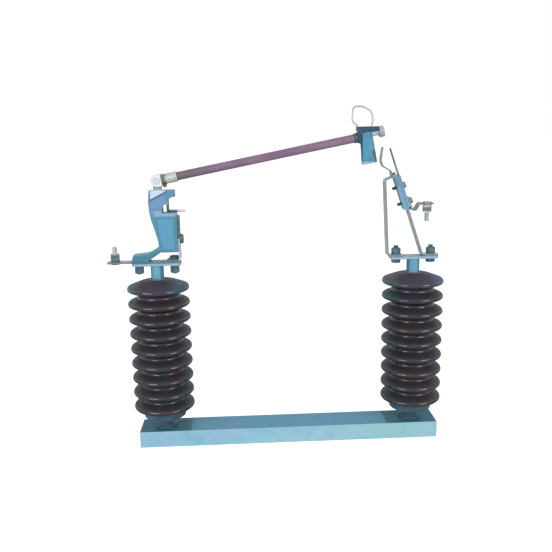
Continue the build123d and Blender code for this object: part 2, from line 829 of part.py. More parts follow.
arm_middle = block_thickness + strip_thickness / 2
arm_top = block_to_world(arm_middle, block_length)
arm_level = cross_plate_top + strip_thickness / 2
arm_fall = (arm_top[1] - arm_level) / arm_direction.Z
arm_corner = block_to_world(arm_middle, block_length - arm_fall)
with BuildPart() as contact_arm:
    with BuildSketch(upright(0)):
        with BuildLine():
            FilletPolyline(
                (right_axis + arm_foot_end, arm_level), arm_corner, arm_top, radius=bend_radius
            )
        trace(line_width=strip_thickness)
    extrude(amount=arm_width / 2, both=True)
    with BuildSketch(Plane.XY.offset(cross_plate_top)):
        with Locations((arm_bolt_x, 0)):
            Circle(m12_shank / 2 + bolt_hole_clearance)
    extrude(amount=strip_thickness, mode=Mode.SUBTRACT)
    for bolt_at in stack_bolts:
        with BuildSketch(crosswise(bolt_at, block_thickness)):
            Circle(bolt_bore)
        extrude(amount=strip_thickness, mode=Mode.SUBTRACT)
save("contact_arm", contact_arm)

with BuildPart() as clamp_plate:
    with BuildSketch(block):
        with Locations((stack - clamp_thickness / 2, (clamp_start + block_length) / 2)):
            Rectangle(clamp_thickness, block_length - clamp_start)
    extrude(amount=arm_width / 2, both=True)
    for bolt_at in stack_bolts:
        with BuildSketch(crosswise(bolt_at, stack - clamp_thickness)):
            Circle(bolt_bore)
        extrude(amount=clamp_thickness, mode=Mode.SUBTRACT)
save("clamp_plate", clamp_plate)

with BuildPart() as horn_rod:
    with BuildSketch(
        Plane(
            origin=block_point + arm_direction * block_length + arm_across * (stack - clamp_thickness / 2),
            z_dir=arm_direction,
        )
    ):
        Circle(horn_radius)
    extrude(amount=horn_length)
    fillet(horn_rod.edges().sort_by(Axis.Z)[-1], radius=1)
save("horn_rod", horn_rod)

# Stay: from the inner bolt of the cross plate up to the top of the block
stay_level = cross_plate_top + stay_thickness / 2
stay_end = block_to_world(block_thickness, block_length + stay_thickness / 2)
stay_shoulder = block_to_world(-stay_overhang, block_length + stay_thickness / 2)
with BuildPart() as stay_strip:
    with BuildSketch(upright(0)):
        with BuildLine():
            FilletPolyline(
                (right_axis + stay_foot_end, stay_level),
                (right_axis + stay_x, stay_level),
                stay_shoulder,
                stay_end,
                radius=stay_bend,
            )
        trace(line_width=stay_thickness)
    extrude(amount=arm_width / 2, both=True)
    with BuildSketch(Plane.XY.offset(cross_plate_top)):
        with Locations((stay_bolt_x, 0)):
            Circle(m12_shank / 2 + bolt_hole_clearance)
    extrude(amount=stay_thickness, mode=Mode.SUBTRACT)
    with BuildSketch(screw_line):
        Circle(contact_screw_radius + cement_gap)
    extrude(amount=stay_thickness, mode=Mode.SUBTRACT)
save("stay_strip", stay_strip)

# Spring finger: its foot lies on the stay's end and its blade leans towards the fuse carrier
finger_level = block_length + stay_thickness + finger_thickness / 2
finger_foot = block_to_world(-finger_seat_overhang, finger_level)
with BuildPart() as contact_finger:
    with BuildSketch(upright(0)):
        with BuildLine():
            FilletPolyline(
                block_to_world(block_thickness, finger_level),
                finger_foot,
                *((finger_foot[0] + over, finger_foot[1] + up) for over, up in finger_line),
                radius=finger_bends,
            )
        trace(line_width=finger_thickness)
    extrude(amount=finger_width / 2, both=True)
    with BuildSketch(screw_line.offset(stay_thickness)):
        Circle(contact_screw_radius + cement_gap)
    extrude(amount=finger_thickness, mode=Mode.SUBTRACT)
save("contact_finger", contact_finger)

with BuildPart() as contact_screw:
    with BuildSketch(screw_line.offset(stay_thickness + finger_thickness)):
        Circle(contact_screw_head_radius)
    extrude(amount=contact_screw_head)
    with BuildSketch(screw_line.offset(-contact_screw_depth)):
        Circle(contact_screw_radius)
    extrude(amount=contact_screw_depth + stay_thickness + finger_thickness)
save("contact_screw", contact_screw)

# Load terminal: a lug under the lower block bolt, bent out to the right, with its stud pointing down
lug_middle = stack + strip_thickness / 2
lug_level = cross_plate_top + load_terminal_z
with BuildPart() as load_strip:
    with BuildSketch(upright(0)):
        with BuildLine():
            FilletPolyline(
                block_to_world(lug_middle, lower_bolt_at + lug_above_bolt),
                block_to_world(lug_middle, -3),
                (block_to_world(lug_middle, -3)[0] + 9, lug_level - 14),
                (block_to_world(lug_middle, -3)[0] + 18, lug_level),
                (right_axis + lug_end_x, lug_level),
                radius=(4, 5, 5),
            )
        trace(line_width=strip_thickness)
    extrude(amount=arm_width / 2, both=True)
    with BuildSketch(crosswise(lower_bolt_at, stack)):
        Circle(bolt_bore)
    extrude(amount=strip_thickness, mode=Mode.SUBTRACT)
    with BuildSketch(Plane.XY.offset(lug_level - strip_thickness / 2)):
        with Locations((right_axis + load_stud_x, 0)):
            Circle(m12_shank / 2 + bolt_hole_clearance)
    extrude(amount=strip_thickness, mode=Mode.SUBTRACT)
save("load_terminal_strip", load_strip)

load_seat = Plane(origin=(right_axis + load_stud_x, 0, lug_level + strip_thickness / 2), z_dir=(0, 0, -1))
terminal("load", load_seat, load_stud_tail)

# Bolts of the contact stack go in from the right and come out through the block
for name, bolt_at, layers in (
    ("upper_block_bolt", upper_bolt_at, stack),
    ("lower_block_bolt", lower_bolt_at, stack + strip_thickness),
):
    outer_face = crosswise(bolt_at, layers)
    from_right = Plane(origin=outer_face.origin, x_dir=outer_face.x_dir, z_dir=outer_face.z_dir * -1)
    fastener(name, from_right, layers, m8, nut=False, tail=m8_tail)

stay_seat = Plane((stay_bolt_x, 0, cross_plate_bottom))
arm_seat = Plane((arm_bolt_x, 0, cross_plate_bottom))
fastener("stay_foot_bolt", stay_seat, cross_plate_thickness + stay_thickness, m12, tail=m12_tail)
fastener("arm_foot_bolt", arm_seat, cross_plate_thickness + strip_thickness, m12, tail=m12_tail)

# Keeper bar between the ledge and the lug under the beak
keeper_x = left_axis + neck_right + keeper_offset
with BuildPart() as keeper_bar:
    with BuildSketch(Plane.XY.offset(deck + ledge_height)):
        with Locations((keeper_x, 0)):
            Rectangle(keeper_thickness, keeper_width)
    extrude(amount=keeper_height)
save("keeper_bar", keeper_bar)
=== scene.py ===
import math

import bmesh
import bpy
from mathutils import Matrix, Vector


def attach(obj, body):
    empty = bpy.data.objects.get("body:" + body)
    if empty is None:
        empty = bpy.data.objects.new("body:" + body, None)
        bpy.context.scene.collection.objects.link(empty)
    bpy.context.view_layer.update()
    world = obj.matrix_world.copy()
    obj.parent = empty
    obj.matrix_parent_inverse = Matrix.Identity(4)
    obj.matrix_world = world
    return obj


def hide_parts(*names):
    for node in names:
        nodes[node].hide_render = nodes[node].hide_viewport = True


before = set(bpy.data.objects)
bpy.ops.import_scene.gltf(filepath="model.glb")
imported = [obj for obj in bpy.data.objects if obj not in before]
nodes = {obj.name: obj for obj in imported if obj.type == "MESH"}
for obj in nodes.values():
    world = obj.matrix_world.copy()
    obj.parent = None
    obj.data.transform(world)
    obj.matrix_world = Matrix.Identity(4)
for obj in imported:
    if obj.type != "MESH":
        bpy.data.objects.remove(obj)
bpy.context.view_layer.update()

# Sizes and places are in millimetres, in the CAD model's frame, unless a comment says metres
ACROSS, DEEP, UPWARD = (1, 0, 0), (0, 1, 0), (0, 0, 1)

# The insulators' axes, and the plates and strips on top of them
LEFT_AXIS, RIGHT_AXIS = -279.5, 320.5
PLATE, STRIP, CASTING_FOOT = 6.0, 4.0, 10.0
PLATE_BOTTOM = 439.5
PLATE_TOP = PLATE_BOTTOM + PLATE
STRIP_TOP = PLATE_TOP + STRIP
BOLT_REACH = 41.0
STRIP_HALF_WIDTH = 12.5
LINE_STUD_X = LEFT_AXIS - 95
LOAD_STUD_X, LOAD_STRIP_TOP = RIGHT_AXIS + 30, PLATE_TOP + 124
HEEL_STRAP_OUTSIDE, HEEL_STRAP_BOLT_Z = LEFT_AXIS + 56.5, STRIP_TOP + 50
CHANNEL_TOP_UNDERSIDE = 35.0

# The contact block leans towards the hinge
BLOCK_FOOT = Vector((RIGHT_AXIS - 25, 0, PLATE_TOP + 106.5))
BLOCK_LEAN = math.radians(18.5)
BLOCK_UP = Vector((-math.sin(BLOCK_LEAN), 0, math.cos(BLOCK_LEAN)))
BLOCK_ACROSS = Vector((math.cos(BLOCK_LEAN), 0, math.sin(BLOCK_LEAN)))

# The photograph's own viewpoint: angles in radians, place in metres, focal length in pixels
CAMERA_YAW, CAMERA_PITCH, CAMERA_ROLL = 0.040992, 0.212998, 0.019866
CAMERA_PLACE = (-0.06604, -1.52014, 0.73392)
FOCAL_PIXELS, FRAME_PIXELS = 662.434, 552


def place_camera():
    yaw, pitch, roll = CAMERA_YAW, CAMERA_PITCH, CAMERA_ROLL
    ahead = Vector((math.sin(yaw) * math.cos(pitch), math.cos(yaw) * math.cos(pitch), -math.sin(pitch)))
    right = Vector((math.cos(yaw), -math.sin(yaw), 0))
    down = ahead.cross(right)
    turned_right = math.cos(roll) * right + math.sin(roll) * down
    turned_down = math.cos(roll) * down - math.sin(roll) * right
    data = bpy.data.cameras.new("camera")
    data.sensor_width = 36
    data.lens = FOCAL_PIXELS / FRAME_PIXELS * data.sensor_width
    camera = bpy.data.objects.new("camera", data)
    bpy.context.scene.collection.objects.link(camera)
    turn = Matrix((turned_right, -turned_down, -ahead)).transposed().to_4x4()
    camera.matrix_world = Matrix.Translation(CAMERA_PLACE) @ turn
    bpy.context.scene.camera = camera


# Tools for node trees and materials
class NodeBuilder:
    """Adds nodes to a tree. An input takes a plain value, or a link where a socket is given."""

    def __init__(self, tree):
        self.tree = tree

    def add(self, kind, inputs=None, **settings):
        node = self.tree.nodes.new(kind)
        for name, value in settings.items():
            setattr(node, name, value)
        for name, value in (inputs or {}).items():
            self.feed(node.inputs[name], value)
        return node

    def feed(self, socket, value):
        if isinstance(value, bpy.types.NodeSocket):
            self.tree.links.new(value, socket)
        else:
            socket.default_value = value

    def math(self, operation, *values):
        node = self.add("ShaderNodeMath", operation=operation)
        for socket, value in zip(node.inputs, values):
            self.feed(socket, value)
        return node.outputs["Value"]

    def plus(self, first, second):
        return self.math("ADD", first, second)

    def minus(self, first, second):
        return self.math("SUBTRACT", first, second)

    def times(self, first, second):
        return self.math("MULTIPLY", first, second)


def colour(red, green, blue):
    """A colour given in screen values from 0 to 255."""
    linear = []
    for value in (red, green, blue):
        share = value / 255
        linear.append(share / 12.92 if share <= 0.04045 else ((share + 0.055) / 1.055) ** 2.4)
    return (*linear, 1.0)


class Surface(NodeBuilder):
    """A material being built: its shader, and the steps that patterns are made of. Scales are per metre."""

    def __init__(self, name):
        self.material = bpy.data.materials.new(name)
        self.material.use_nodes = True
        super().__init__(self.material.node_tree)
        self.shader = self.tree.nodes["Principled BSDF"]
        self.place = self.add("ShaderNodeTexCoord").outputs["Object"]

    def stretched(self, x, y, z):
        return self.add("ShaderNodeMapping", {"Vector": self.place, "Scale": (x, y, z)}).outputs["Vector"]

    def noise(self, scale, detail=4.0, roughness=0.55, where=None, distortion=0.0):
        return self.add("ShaderNodeTexNoise", {
            "Vector": where or self.place, "Scale": scale, "Detail": detail,
            "Roughness": roughness, "Distortion": distortion}).outputs["Fac"]

    def sort(self, value, low, high, to_low=0.0, to_high=1.0):
        """Turns the range from low to high into another one, with soft ends."""
        inputs = {"Value": value, "From Min": low, "From Max": high, "To Min": to_low, "To Max": to_high}
        return self.add("ShaderNodeMapRange", inputs, interpolation_type="SMOOTHSTEP").outputs["Result"]

    def mix(self, share, first, second, blend="MIX"):
        node = self.add("ShaderNodeMix", data_type="RGBA", blend_type=blend)
        self.feed(node.inputs["Factor"], share)
        self.feed(node.inputs["A"], first)
        self.feed(node.inputs["B"], second)
        return node.outputs["Result"]

    def dot(self, first, second):
        node = self.add("ShaderNodeVectorMath", operation="DOT_PRODUCT")
        self.feed(node.inputs[0], first)
        self.feed(node.inputs[1], second)
        return node.outputs["Value"]

    def edges(self, width):
        """1 where the surface turns a corner within the width, 0 on flat ground."""
        rounded = self.add("ShaderNodeBevel", {"Radius": width / 1000}, samples=4).outputs["Normal"]
        plain = self.add("ShaderNodeNewGeometry").outputs["Normal"]
        return self.sort(self.dot(rounded, plain), 0.995, 0.90)

    def facing_up(self):
        """1 on faces that look up, where dust and rain-washed dirt settle."""
        normal = self.add("ShaderNodeNewGeometry").outputs["Normal"]
        return self.sort(self.add("ShaderNodeSeparateXYZ", {"Vector": normal}).outputs["Z"], 0.3, 0.9)

    def near(self, axis, middle, reach, fade):
        """1 within the reach of a place along an axis, fading out beyond it."""
        away = self.math("ABSOLUTE", self.minus(self.dot(self.place, axis), middle / 1000))
        return self.sort(away, (reach + fade) / 1000, reach / 1000)

    def tinted(self, base, patches):
        """Each patch is a colour, how strongly it shows, and its limits: axis, middle, reach and fade."""
        for tint, strength, *limits in patches:
            share = strength
            for limit in limits:
                share = self.times(share, self.near(*limit))
            base = self.mix(share, base, tint)
        return base

    def bump(self, height, depth, strength):
        """Adds relief of this depth on top of what the shader's normal already has."""
        inputs = {"Height": height, "Distance": depth / 1000, "Strength": strength}
        node = self.add("ShaderNodeBump", inputs)
        normal = self.shader.inputs["Normal"]
        if normal.is_linked:
            self.feed(node.inputs["Normal"], normal.links[0].from_socket)
        self.feed(normal, node.outputs["Normal"])

    def finish(self, **sockets):
        for name, value in sockets.items():
            self.feed(self.shader.inputs[name.replace("_", " ")], value)
        return self.material


# Paints
def channel_enamel():
    """Pale blue paint on the rolled channel: mottled, with painted shade on its top faces and a painted
    shadow below the insulators.
    """
    paint = Surface("channel_enamel")
    streaks = paint.noise(9, 5, 0.6, paint.stretched(0.5, 1, 1.6))
    mottle = paint.noise(70, 4, 0.6)
    base = paint.mix(paint.sort(streaks, 0.40, 0.62), colour(146, 202, 226), colour(166, 210, 226))
    base = paint.mix(paint.sort(mottle, 0.52, 0.76, 0, 0.4), base, colour(190, 214, 220))
    tints = paint.noise(5.5, 1, 0.4)
    base = paint.mix(paint.sort(tints, 0.56, 0.68, 0, 0.45), base, colour(150, 212, 212))
    base = paint.mix(paint.sort(tints, 0.44, 0.34, 0, 0.45), base, colour(170, 198, 226))
    # Painted shade: the top faces are darker and bluer than the front
    shaded_top = paint.facing_up()
    base = paint.mix(paint.times(shaded_top, 0.9), base, colour(98, 164, 196))
    grime = paint.sort(paint.noise(22, 6, 0.7), 0.52, 0.75, 0, 0.4)
    base = paint.mix(grime, base, colour(112, 164, 180))
    # Painted shadow: the top is darkest, in patches, below each insulator's sheds
    left_shadow, right_shadow = (paint.near(ACROSS, axis_x, 60, 8) for axis_x in (LEFT_AXIS, RIGHT_AXIS))
    insulator_shadow = paint.math("MAXIMUM", left_shadow, right_shadow)
    patchy = paint.sort(paint.noise(30, 4, 0.6), 0.2, 0.6, 0.75, 1.0)
    base = paint.mix(paint.times(paint.times(insulator_shadow, shaded_top), patchy), base, colour(54, 122, 140))
    rims = paint.times(paint.edges(1.2), paint.sort(paint.noise(160, 3), 0.42, 0.6))
    base = paint.mix(paint.times(rims, 0.6), base, colour(170, 164, 152))
    specks = paint.sort(paint.noise(420, 2, 0.7), 0.66, 0.74)
    base = paint.mix(paint.times(specks, 0.5), base, colour(92, 120, 128))
    rust = paint.sort(paint.noise(55, 6, 0.75), 0.66, 0.78)
    base = paint.mix(paint.times(rust, 0.4), base, colour(150, 132, 112))
    paint.bump(paint.noise(300, 3, 0.5), 0.25, 0.5)
    paint.bump(paint.noise(28, 2, 0.5), 0.4, 0.25)
    roughness = paint.sort(mottle, 0.3, 0.7, 0.46, 0.62)
    return paint.finish(Base_Color=base, Roughness=roughness, Specular_IOR_Level=0.3)


def cast_enamel(name, light, dark, dust, patches=()):
    """Brushed enamel over a sand-cast skin: dull dust on it, thin and chipped along the edges."""
    paint = Surface(name)
    clouds = paint.noise(38, 5, 0.6)
    base = paint.tinted(paint.mix(paint.sort(clouds, 0.38, 0.66), light, dark), patches)
    runs = paint.noise(26, 4, 0.55, paint.stretched(1.6, 1.6, 0.4))
    base = paint.mix(paint.sort(runs, 0.5, 0.75, 0, 0.3), base, dust)
    base = paint.mix(paint.times(paint.facing_up(), 0.6), base, dust)
    edge = paint.edges(1.4)
    base = paint.mix(paint.times(edge, 0.25), base, dust)
    chips = paint.times(edge, paint.sort(paint.noise(210, 4), 0.44, 0.6))
    base = paint.mix(paint.times(chips, 0.6), base, colour(84, 92, 94))
    pits = paint.sort(paint.noise(520, 2, 0.6), 0.64, 0.72)
    base = paint.mix(paint.times(pits, 0.45), base, colour(44, 70, 84))
    paint.bump(paint.noise(420, 3, 0.6), 0.5, 0.6)
    paint.bump(paint.noise(90, 2, 0.5), 1.2, 0.3)
    roughness = paint.sort(clouds, 0.3, 0.7, 0.38, 0.6)
    return paint.finish(Base_Color=base, Roughness=roughness, Specular_IOR_Level=0.4)


def hinge_casting_enamel():
    """Steel-blue enamel: lighter in its pockets, greyer on its rims, with painted shade on its strap side
    and beak, painted teal shade on its foot, and a painted highlight and shade line on its shoulder.
    """
    leg, slope = (UPWARD, 520, 46, 4), (-0.5, 0, 1)
    patches = (
        # The leg, painted shade on its side towards the strap, the floor of its pocket and the pocket's
        # lower corner
        (colour(92, 144, 170), 0.85, leg),
        (colour(70, 128, 146), 0.6, leg, (ACROSS, -220, 10, 4)),
        (colour(92, 160, 193), 0.95, (DEEP, 0, 15.4, 0.6), (UPWARD, 514.8, 40, 2)),
        (colour(68, 138, 152), 0.6, (UPWARD, 510, 36, 10), (ACROSS, -216, 10, 14)),
        # The neck, and painted shade on its beak
        (colour(114, 154, 192), 0.9, (UPWARD, 598, 34, 6)),
        (colour(84, 144, 170), 0.8, (UPWARD, 604, 15, 6), (ACROSS, -234, 10, 16)),
        # The shoulder's painted shade line and painted highlight wedge, and the head's greyer paint around
        # the pin
        (colour(58, 98, 128), 0.85, (slope, 733.2, 2.4, 2), (ACROSS, -268, 18, 6)),
        (colour(212, 232, 246), 0.9, (slope, 746.8, 11.2, 2), (ACROSS, -274, 20, 8)),
        (colour(136, 150, 160), 0.85, (UPWARD, 630, 16, 1)),
        # The back of the neck, the ledge, and painted shade on the foot
        (colour(104, 132, 152), 0.85, (ACROSS, -288.5, 4, 1.5), (UPWARD, 597, 14, 2)),
        (colour(148, 182, 216), 0.8, (UPWARD, 559.5, 5, 2), (ACROSS, -250, 24, 6)),
        (colour(60, 126, 146), 0.8, (UPWARD, 450, 20, 12)),
    )
    return cast_enamel("steel_blue_enamel", colour(100, 168, 200), colour(86, 148, 180),
                       colour(140, 182, 210), patches)


def top_fitting_enamel():
    """Stem and cross plate: the plate has weathered to a lilac grey, and painted shade darkens the stem
    down its sides.
    """
    plate = (UPWARD, 442.5, 4, 0.6)
    stem = (UPWARD, 420, 19, 1)
    patches = [
        (colour(170, 190, 212), 0.85, plate),
        (colour(122, 184, 214), 0.6, plate, (ACROSS, LEFT_AXIS - 15, 34, 16)),
    ]
    # Painted shade down the left and right sides of each stem
    for axis_x in (LEFT_AXIS, RIGHT_AXIS):
        patches.append((colour(74, 116, 132), 0.8, (ACROSS, axis_x - 16, 3.5, 3), stem))
        patches.append((colour(60, 104, 122), 0.6, (ACROSS, axis_x + 12.5, 3, 3), stem))
    return cast_enamel("stem_enamel", colour(112, 182, 208), colour(96, 160, 190),
                       colour(138, 176, 198), patches)


def base_fitting_enamel():
    return cast_enamel("cup_enamel", colour(66, 98, 118), colour(48, 80, 100), colour(98, 124, 138))


def contact_block_enamel():
    """Pale enamel, duller at the block's top and bluer at its foot."""
    patches = (
        (colour(104, 144, 166), 0.8, (UPWARD, 630, 16, 10)),
        (colour(118, 176, 202), 0.7, (UPWARD, 562, 14, 10)),
    )
    return cast_enamel("block_enamel", colour(130, 170, 200), colour(112, 154, 186),
                       colour(146, 172, 194), patches)


def contact_blade_enamel():
    """The blade is dark along its edge and in a leaning band, and rubbed pale along its foot."""
    lean = (1, 0, 0.28)
    patches = (
        (colour(46, 82, 114), 0.6, (ACROSS, 195, 1.5, 2)),
        (colour(70, 100, 128), 0.8, (lean, 420, 7, 4), (UPWARD, 668, 20, 8)),
        (colour(176, 198, 220), 0.85, (UPWARD, 662, 3, 1.5)),
    )
    return cast_enamel("blade_enamel", colour(80, 154, 182), colour(68, 138, 164),
                       colour(100, 152, 180), patches)


def upper_fitting_enamel():
    return cast_enamel("navy_enamel", colour(50, 80, 106), colour(36, 60, 86), colour(84, 98, 126))


def tube_enamel():
    """Mauve enamel over a wound fibre tube: the winding shows as fine slanting ridges."""
    paint = Surface("mauve_tube_enamel")
    clouds = paint.noise(30, 5, 0.6, paint.stretched(0.5, 2, 2))
    base = paint.mix(paint.sort(clouds, 0.36, 0.66), colour(126, 101, 127), colour(142, 116, 142))
    base = paint.mix(paint.sort(paint.noise(120, 5, 0.7), 0.56, 0.78, 0, 0.5), base, colour(96, 80, 96))
    # Soot and handling have greyed the end next to the hinge
    base = paint.tinted(base, [(colour(96, 90, 96), 0.7, (ACROSS, -300, 100, 70))])
    turned = paint.add("ShaderNodeMapping", {"Vector": paint.place, "Rotation": (0, 0.19, 0.35)})
    winding = paint.add("ShaderNodeTexWave", {
        "Vector": turned.outputs["Vector"], "Scale": 130.0,
        "Distortion": 1.5, "Detail": 2.0}).outputs["Fac"]
    paint.bump(winding, 0.2, 0.35)
    paint.bump(paint.noise(350, 3, 0.6), 0.2, 0.4)
    return paint.finish(Base_Color=base, Roughness=paint.sort(clouds, 0.3, 0.7, 0.36, 0.5))


# Porcelain and cement
def porcelain_glaze():
    """Dark brown glaze: clouded, tinted at the top, with painted reflections on the crown and flanks, dull
    with dust and glossy on its noses.
    """
    glaze = Surface("brown_porcelain_glaze")
    clouds = glaze.noise(16, 4, 0.6)
    base = glaze.mix(glaze.sort(clouds, 0.38, 0.62), colour(50, 39, 46), colour(37, 41, 51))
    flow = glaze.noise(60, 5, 0.65, glaze.stretched(1, 1, 0.25))
    base = glaze.mix(glaze.sort(flow, 0.5, 0.8, 0, 0.5), base, colour(60, 45, 42))
    crown, top_shed = (UPWARD, 385, 20, 20), (UPWARD, 402, 22, 12)
    base = glaze.tinted(base, (
        (colour(66, 56, 76), 0.5, (UPWARD, 400, 28, 12)),
        # Painted reflections: green on the crown's left, blue on the top shed's right
        (colour(54, 116, 104), 0.6, crown, (ACROSS, LEFT_AXIS - 70, 6, 32)),
        (colour(60, 102, 130), 0.6, top_shed, (ACROSS, LEFT_AXIS + 70, 16, 32)),
        (colour(54, 112, 114), 0.55, crown, (ACROSS, RIGHT_AXIS - 70, 6, 28)),
        (colour(60, 100, 130), 0.6, top_shed, (ACROSS, RIGHT_AXIS + 70, 16, 32)),
    ))
    # Painted reflections: grey-blue on the left and right flanks of each insulator
    for axis_x in (LEFT_AXIS, RIGHT_AXIS):
        base = glaze.tinted(base, (
            (colour(48, 68, 80), 0.35, (ACROSS, axis_x - 74, 12, 22)),
            (colour(48, 68, 80), 0.5, (ACROSS, axis_x + 74, 12, 22)),
        ))
    settled = glaze.facing_up()
    dust = glaze.times(settled, glaze.sort(glaze.noise(45, 6, 0.7), 0.45, 0.8))
    base = glaze.mix(glaze.times(dust, 0.25), base, colour(84, 86, 92))
    glaze.bump(glaze.noise(34, 2, 0.4), 0.8, 0.1)
    glaze.bump(glaze.noise(900, 2, 0.5), 0.08, 0.3)
    roughness = glaze.plus(glaze.sort(clouds, 0.3, 0.7, 0.08, 0.14), glaze.times(settled, 0.5))
    return glaze.finish(Base_Color=base, Roughness=roughness, Specular_IOR_Level=0.5)


def cement():
    mortar = Surface("grey_cement")
    grit = mortar.noise(900, 3, 0.7)
    base = mortar.mix(grit, colour(92, 100, 104), colour(150, 152, 148))
    mortar.bump(grit, 0.6, 0.8)
    return mortar.finish(Base_Color=base, Roughness=0.9)


# Metals
def weathered_metal(name, bright, dull, stain, roughness, metallic, patches=(), rim=None, edge=0.8):
    """Plated or bare metal gone dull outdoors: stained, its edges rubbed bright or lined with a darker
    colour.
    """
    metal = Surface(name)
    clouds = metal.noise(75, 5, 0.6)
    spangle = metal.add("ShaderNodeTexVoronoi", {"Vector": metal.place, "Scale": 260}).outputs["Color"]
    base = metal.tinted(metal.mix(metal.sort(clouds, 0.36, 0.68), bright, dull), patches)
    base = metal.mix(0.10, base, spangle, "SOFT_LIGHT")
    stains = metal.sort(metal.noise(46, 6, 0.7, distortion=0.4), 0.52, 0.72)
    base = metal.mix(metal.times(stains, 0.45), base, stain)
    base = metal.mix(metal.times(metal.edges(edge), 0.65 if rim else 0.4), base, rim or bright)
    metal.bump(metal.noise(600, 3, 0.6), 0.2, 0.5)
    rough = metal.plus(metal.times(clouds, 0.25), roughness - 0.12)
    return metal.finish(Base_Color=base, Metallic=metallic, Roughness=rough)


def fastener_metals():
    """Bolts and studs: slate grey where they are old, pale at the load terminal."""
    heel_head = (ACROSS, LEFT_AXIS + BOLT_REACH, 13, 1)
    heel_head_dirt = (colour(48, 76, 84), 0.85, (UPWARD, 465, 8, 1), heel_head)
    bright_stud_end = (colour(214, 222, 228), 0.9, (UPWARD, 483, 15, 2))
    dirt_above_nut = (colour(78, 98, 98), 0.85, (UPWARD, 554.5, 4, 1.2))
    dark_tails = (colour(34, 44, 48), 0.9, (BLOCK_ACROSS, 441, 14, 1))
    return {
        "galvanised": weathered_metal(
            "galvanised_steel", colour(196, 200, 198), colour(160, 166, 166), colour(120, 122, 116),
            0.45, 0.45),
        "slate": weathered_metal(
            "slate_steel", colour(98, 130, 144), colour(70, 98, 112), colour(54, 66, 70),
            0.45, 0.3, [heel_head_dirt]),
        "line_stud": weathered_metal(
            "line_stud_steel", colour(108, 138, 146), colour(80, 106, 114), colour(60, 74, 76),
            0.45, 0.3, [bright_stud_end]),
        "block_bolt": weathered_metal(
            "block_bolt_steel", colour(122, 164, 188), colour(98, 138, 164), colour(60, 78, 88),
            0.45, 0.25, [dark_tails]),
        "pale": weathered_metal(
            "pale_plated_steel", colour(214, 218, 218), colour(170, 178, 180), colour(104, 116, 116),
            0.4, 0.45, [dirt_above_nut]),
    }


def strip_metals():
    """Bent strips and rods: dark along sheared edges, and painted over where the block clamps them."""
    cut_edges = [(colour(96, 108, 120), 0.6, (DEEP, side * STRIP_HALF_WIDTH, 0.8, 0.3)) for side in (-1, 1)]
    in_block = (colour(112, 152, 182), 0.9, (BLOCK_ACROSS, 464, 15, 1), (UPWARD, 598, 46, 3))
    pale_stay = (colour(196, 206, 216), 0.7, (UPWARD, 490, 70, 30))
    bright_strap = (colour(196, 216, 224), 0.85, (UPWARD, 475, 24, 4), (ACROSS, -219, 8, 1))
    dark_rod_root = (colour(84, 96, 104), 0.85, (ACROSS, -240, 14, 1))
    return {
        "strip": weathered_metal(
            "strip_steel", colour(176, 180, 176), colour(132, 140, 142), colour(100, 102, 94),
            0.42, 0.45, cut_edges),
        "bent_strip": weathered_metal(
            "bent_strip_steel", colour(150, 158, 154), colour(112, 122, 120), colour(84, 90, 84),
            0.42, 0.45),
        "stay": weathered_metal(
            "stay_steel", colour(200, 196, 190), colour(170, 172, 172), colour(120, 124, 122),
            0.42, 0.4, [pale_stay, *cut_edges, in_block]),
        "arm": weathered_metal(
            "arm_steel", colour(202, 208, 210), colour(164, 174, 178), colour(118, 124, 122),
            0.42, 0.4, [*cut_edges, in_block]),
        "strap": weathered_metal(
            "strap_steel", colour(112, 132, 136), colour(80, 100, 106), colour(56, 70, 72),
            0.5, 0.4, [bright_strap]),
        "ledge_rod": weathered_metal(
            "ledge_rod_steel", colour(222, 224, 224), colour(196, 200, 200), colour(150, 152, 150),
            0.42, 0.4, [dark_rod_root]),
        "horn": weathered_metal(
            "horn_steel", colour(122, 142, 146), colour(86, 106, 112), colour(58, 70, 72),
            0.45, 0.4),
        "dark": weathered_metal(
            "dark_steel", colour(92, 108, 110), colour(60, 74, 80), colour(54, 64, 62),
            0.5, 0.4),
    }


def carrier_metals():
    """Plated cheeks, pin, cap and ferrule, some darker along their rims, a bronze and a copper one."""
    bright_cap_end = (colour(206, 222, 232), 0.8, (ACROSS, 216, 14, 3))
    collar_shade = (colour(64, 52, 50), 0.8, (UPWARD, 622, 5, 8))
    return {
        "cheek": weathered_metal(
            "cheek_plate", colour(241, 242, 243), colour(224, 227, 231), colour(186, 188, 194),
            0.34, 0.25, rim=colour(104, 106, 114), edge=1.8),
        "hinge_pin": weathered_metal(
            "hinge_pin_steel", colour(228, 230, 231), colour(206, 210, 212), colour(160, 164, 168),
            0.34, 0.35, rim=colour(96, 100, 108), edge=1.4),
        "silver": weathered_metal(
            "silver_plate", colour(184, 186, 198), colour(156, 154, 172), colour(116, 104, 126),
            0.36, 0.45, [bright_cap_end], rim=colour(120, 112, 132)),
        "ferrule": weathered_metal(
            "ferrule_plate", colour(198, 206, 196), colour(178, 190, 180), colour(150, 158, 146),
            0.4, 0.35),
        "bronze": weathered_metal(
            "green_bronze", colour(118, 130, 114), colour(90, 98, 86), colour(56, 50, 46),
            0.42, 0.5, [collar_shade]),
        "copper": weathered_metal(
            "dull_copper", colour(156, 108, 96), colour(104, 72, 66), colour(58, 46, 46),
            0.4, 0.6),
    }


def all_finishes():
    return {
        "channel": channel_enamel(),
        "casting": hinge_casting_enamel(),
        "stem": top_fitting_enamel(),
        "cup": base_fitting_enamel(),
        "block": contact_block_enamel(),
        "blade": contact_blade_enamel(),
        "navy": upper_fitting_enamel(),
        "tube": tube_enamel(),
        "porcelain": porcelain_glaze(),
        "cement": cement(),
        **fastener_metals(),
        **strip_metals(),
        **carrier_metals(),
    }


# How the CAD nodes' edges are found and rounded, with angles in degrees
ROUNDING_STEPS = 2
WELD_DISTANCE = 0.01
FLAT_ANGLE, SHARP_ANGLE = 0.5, 30

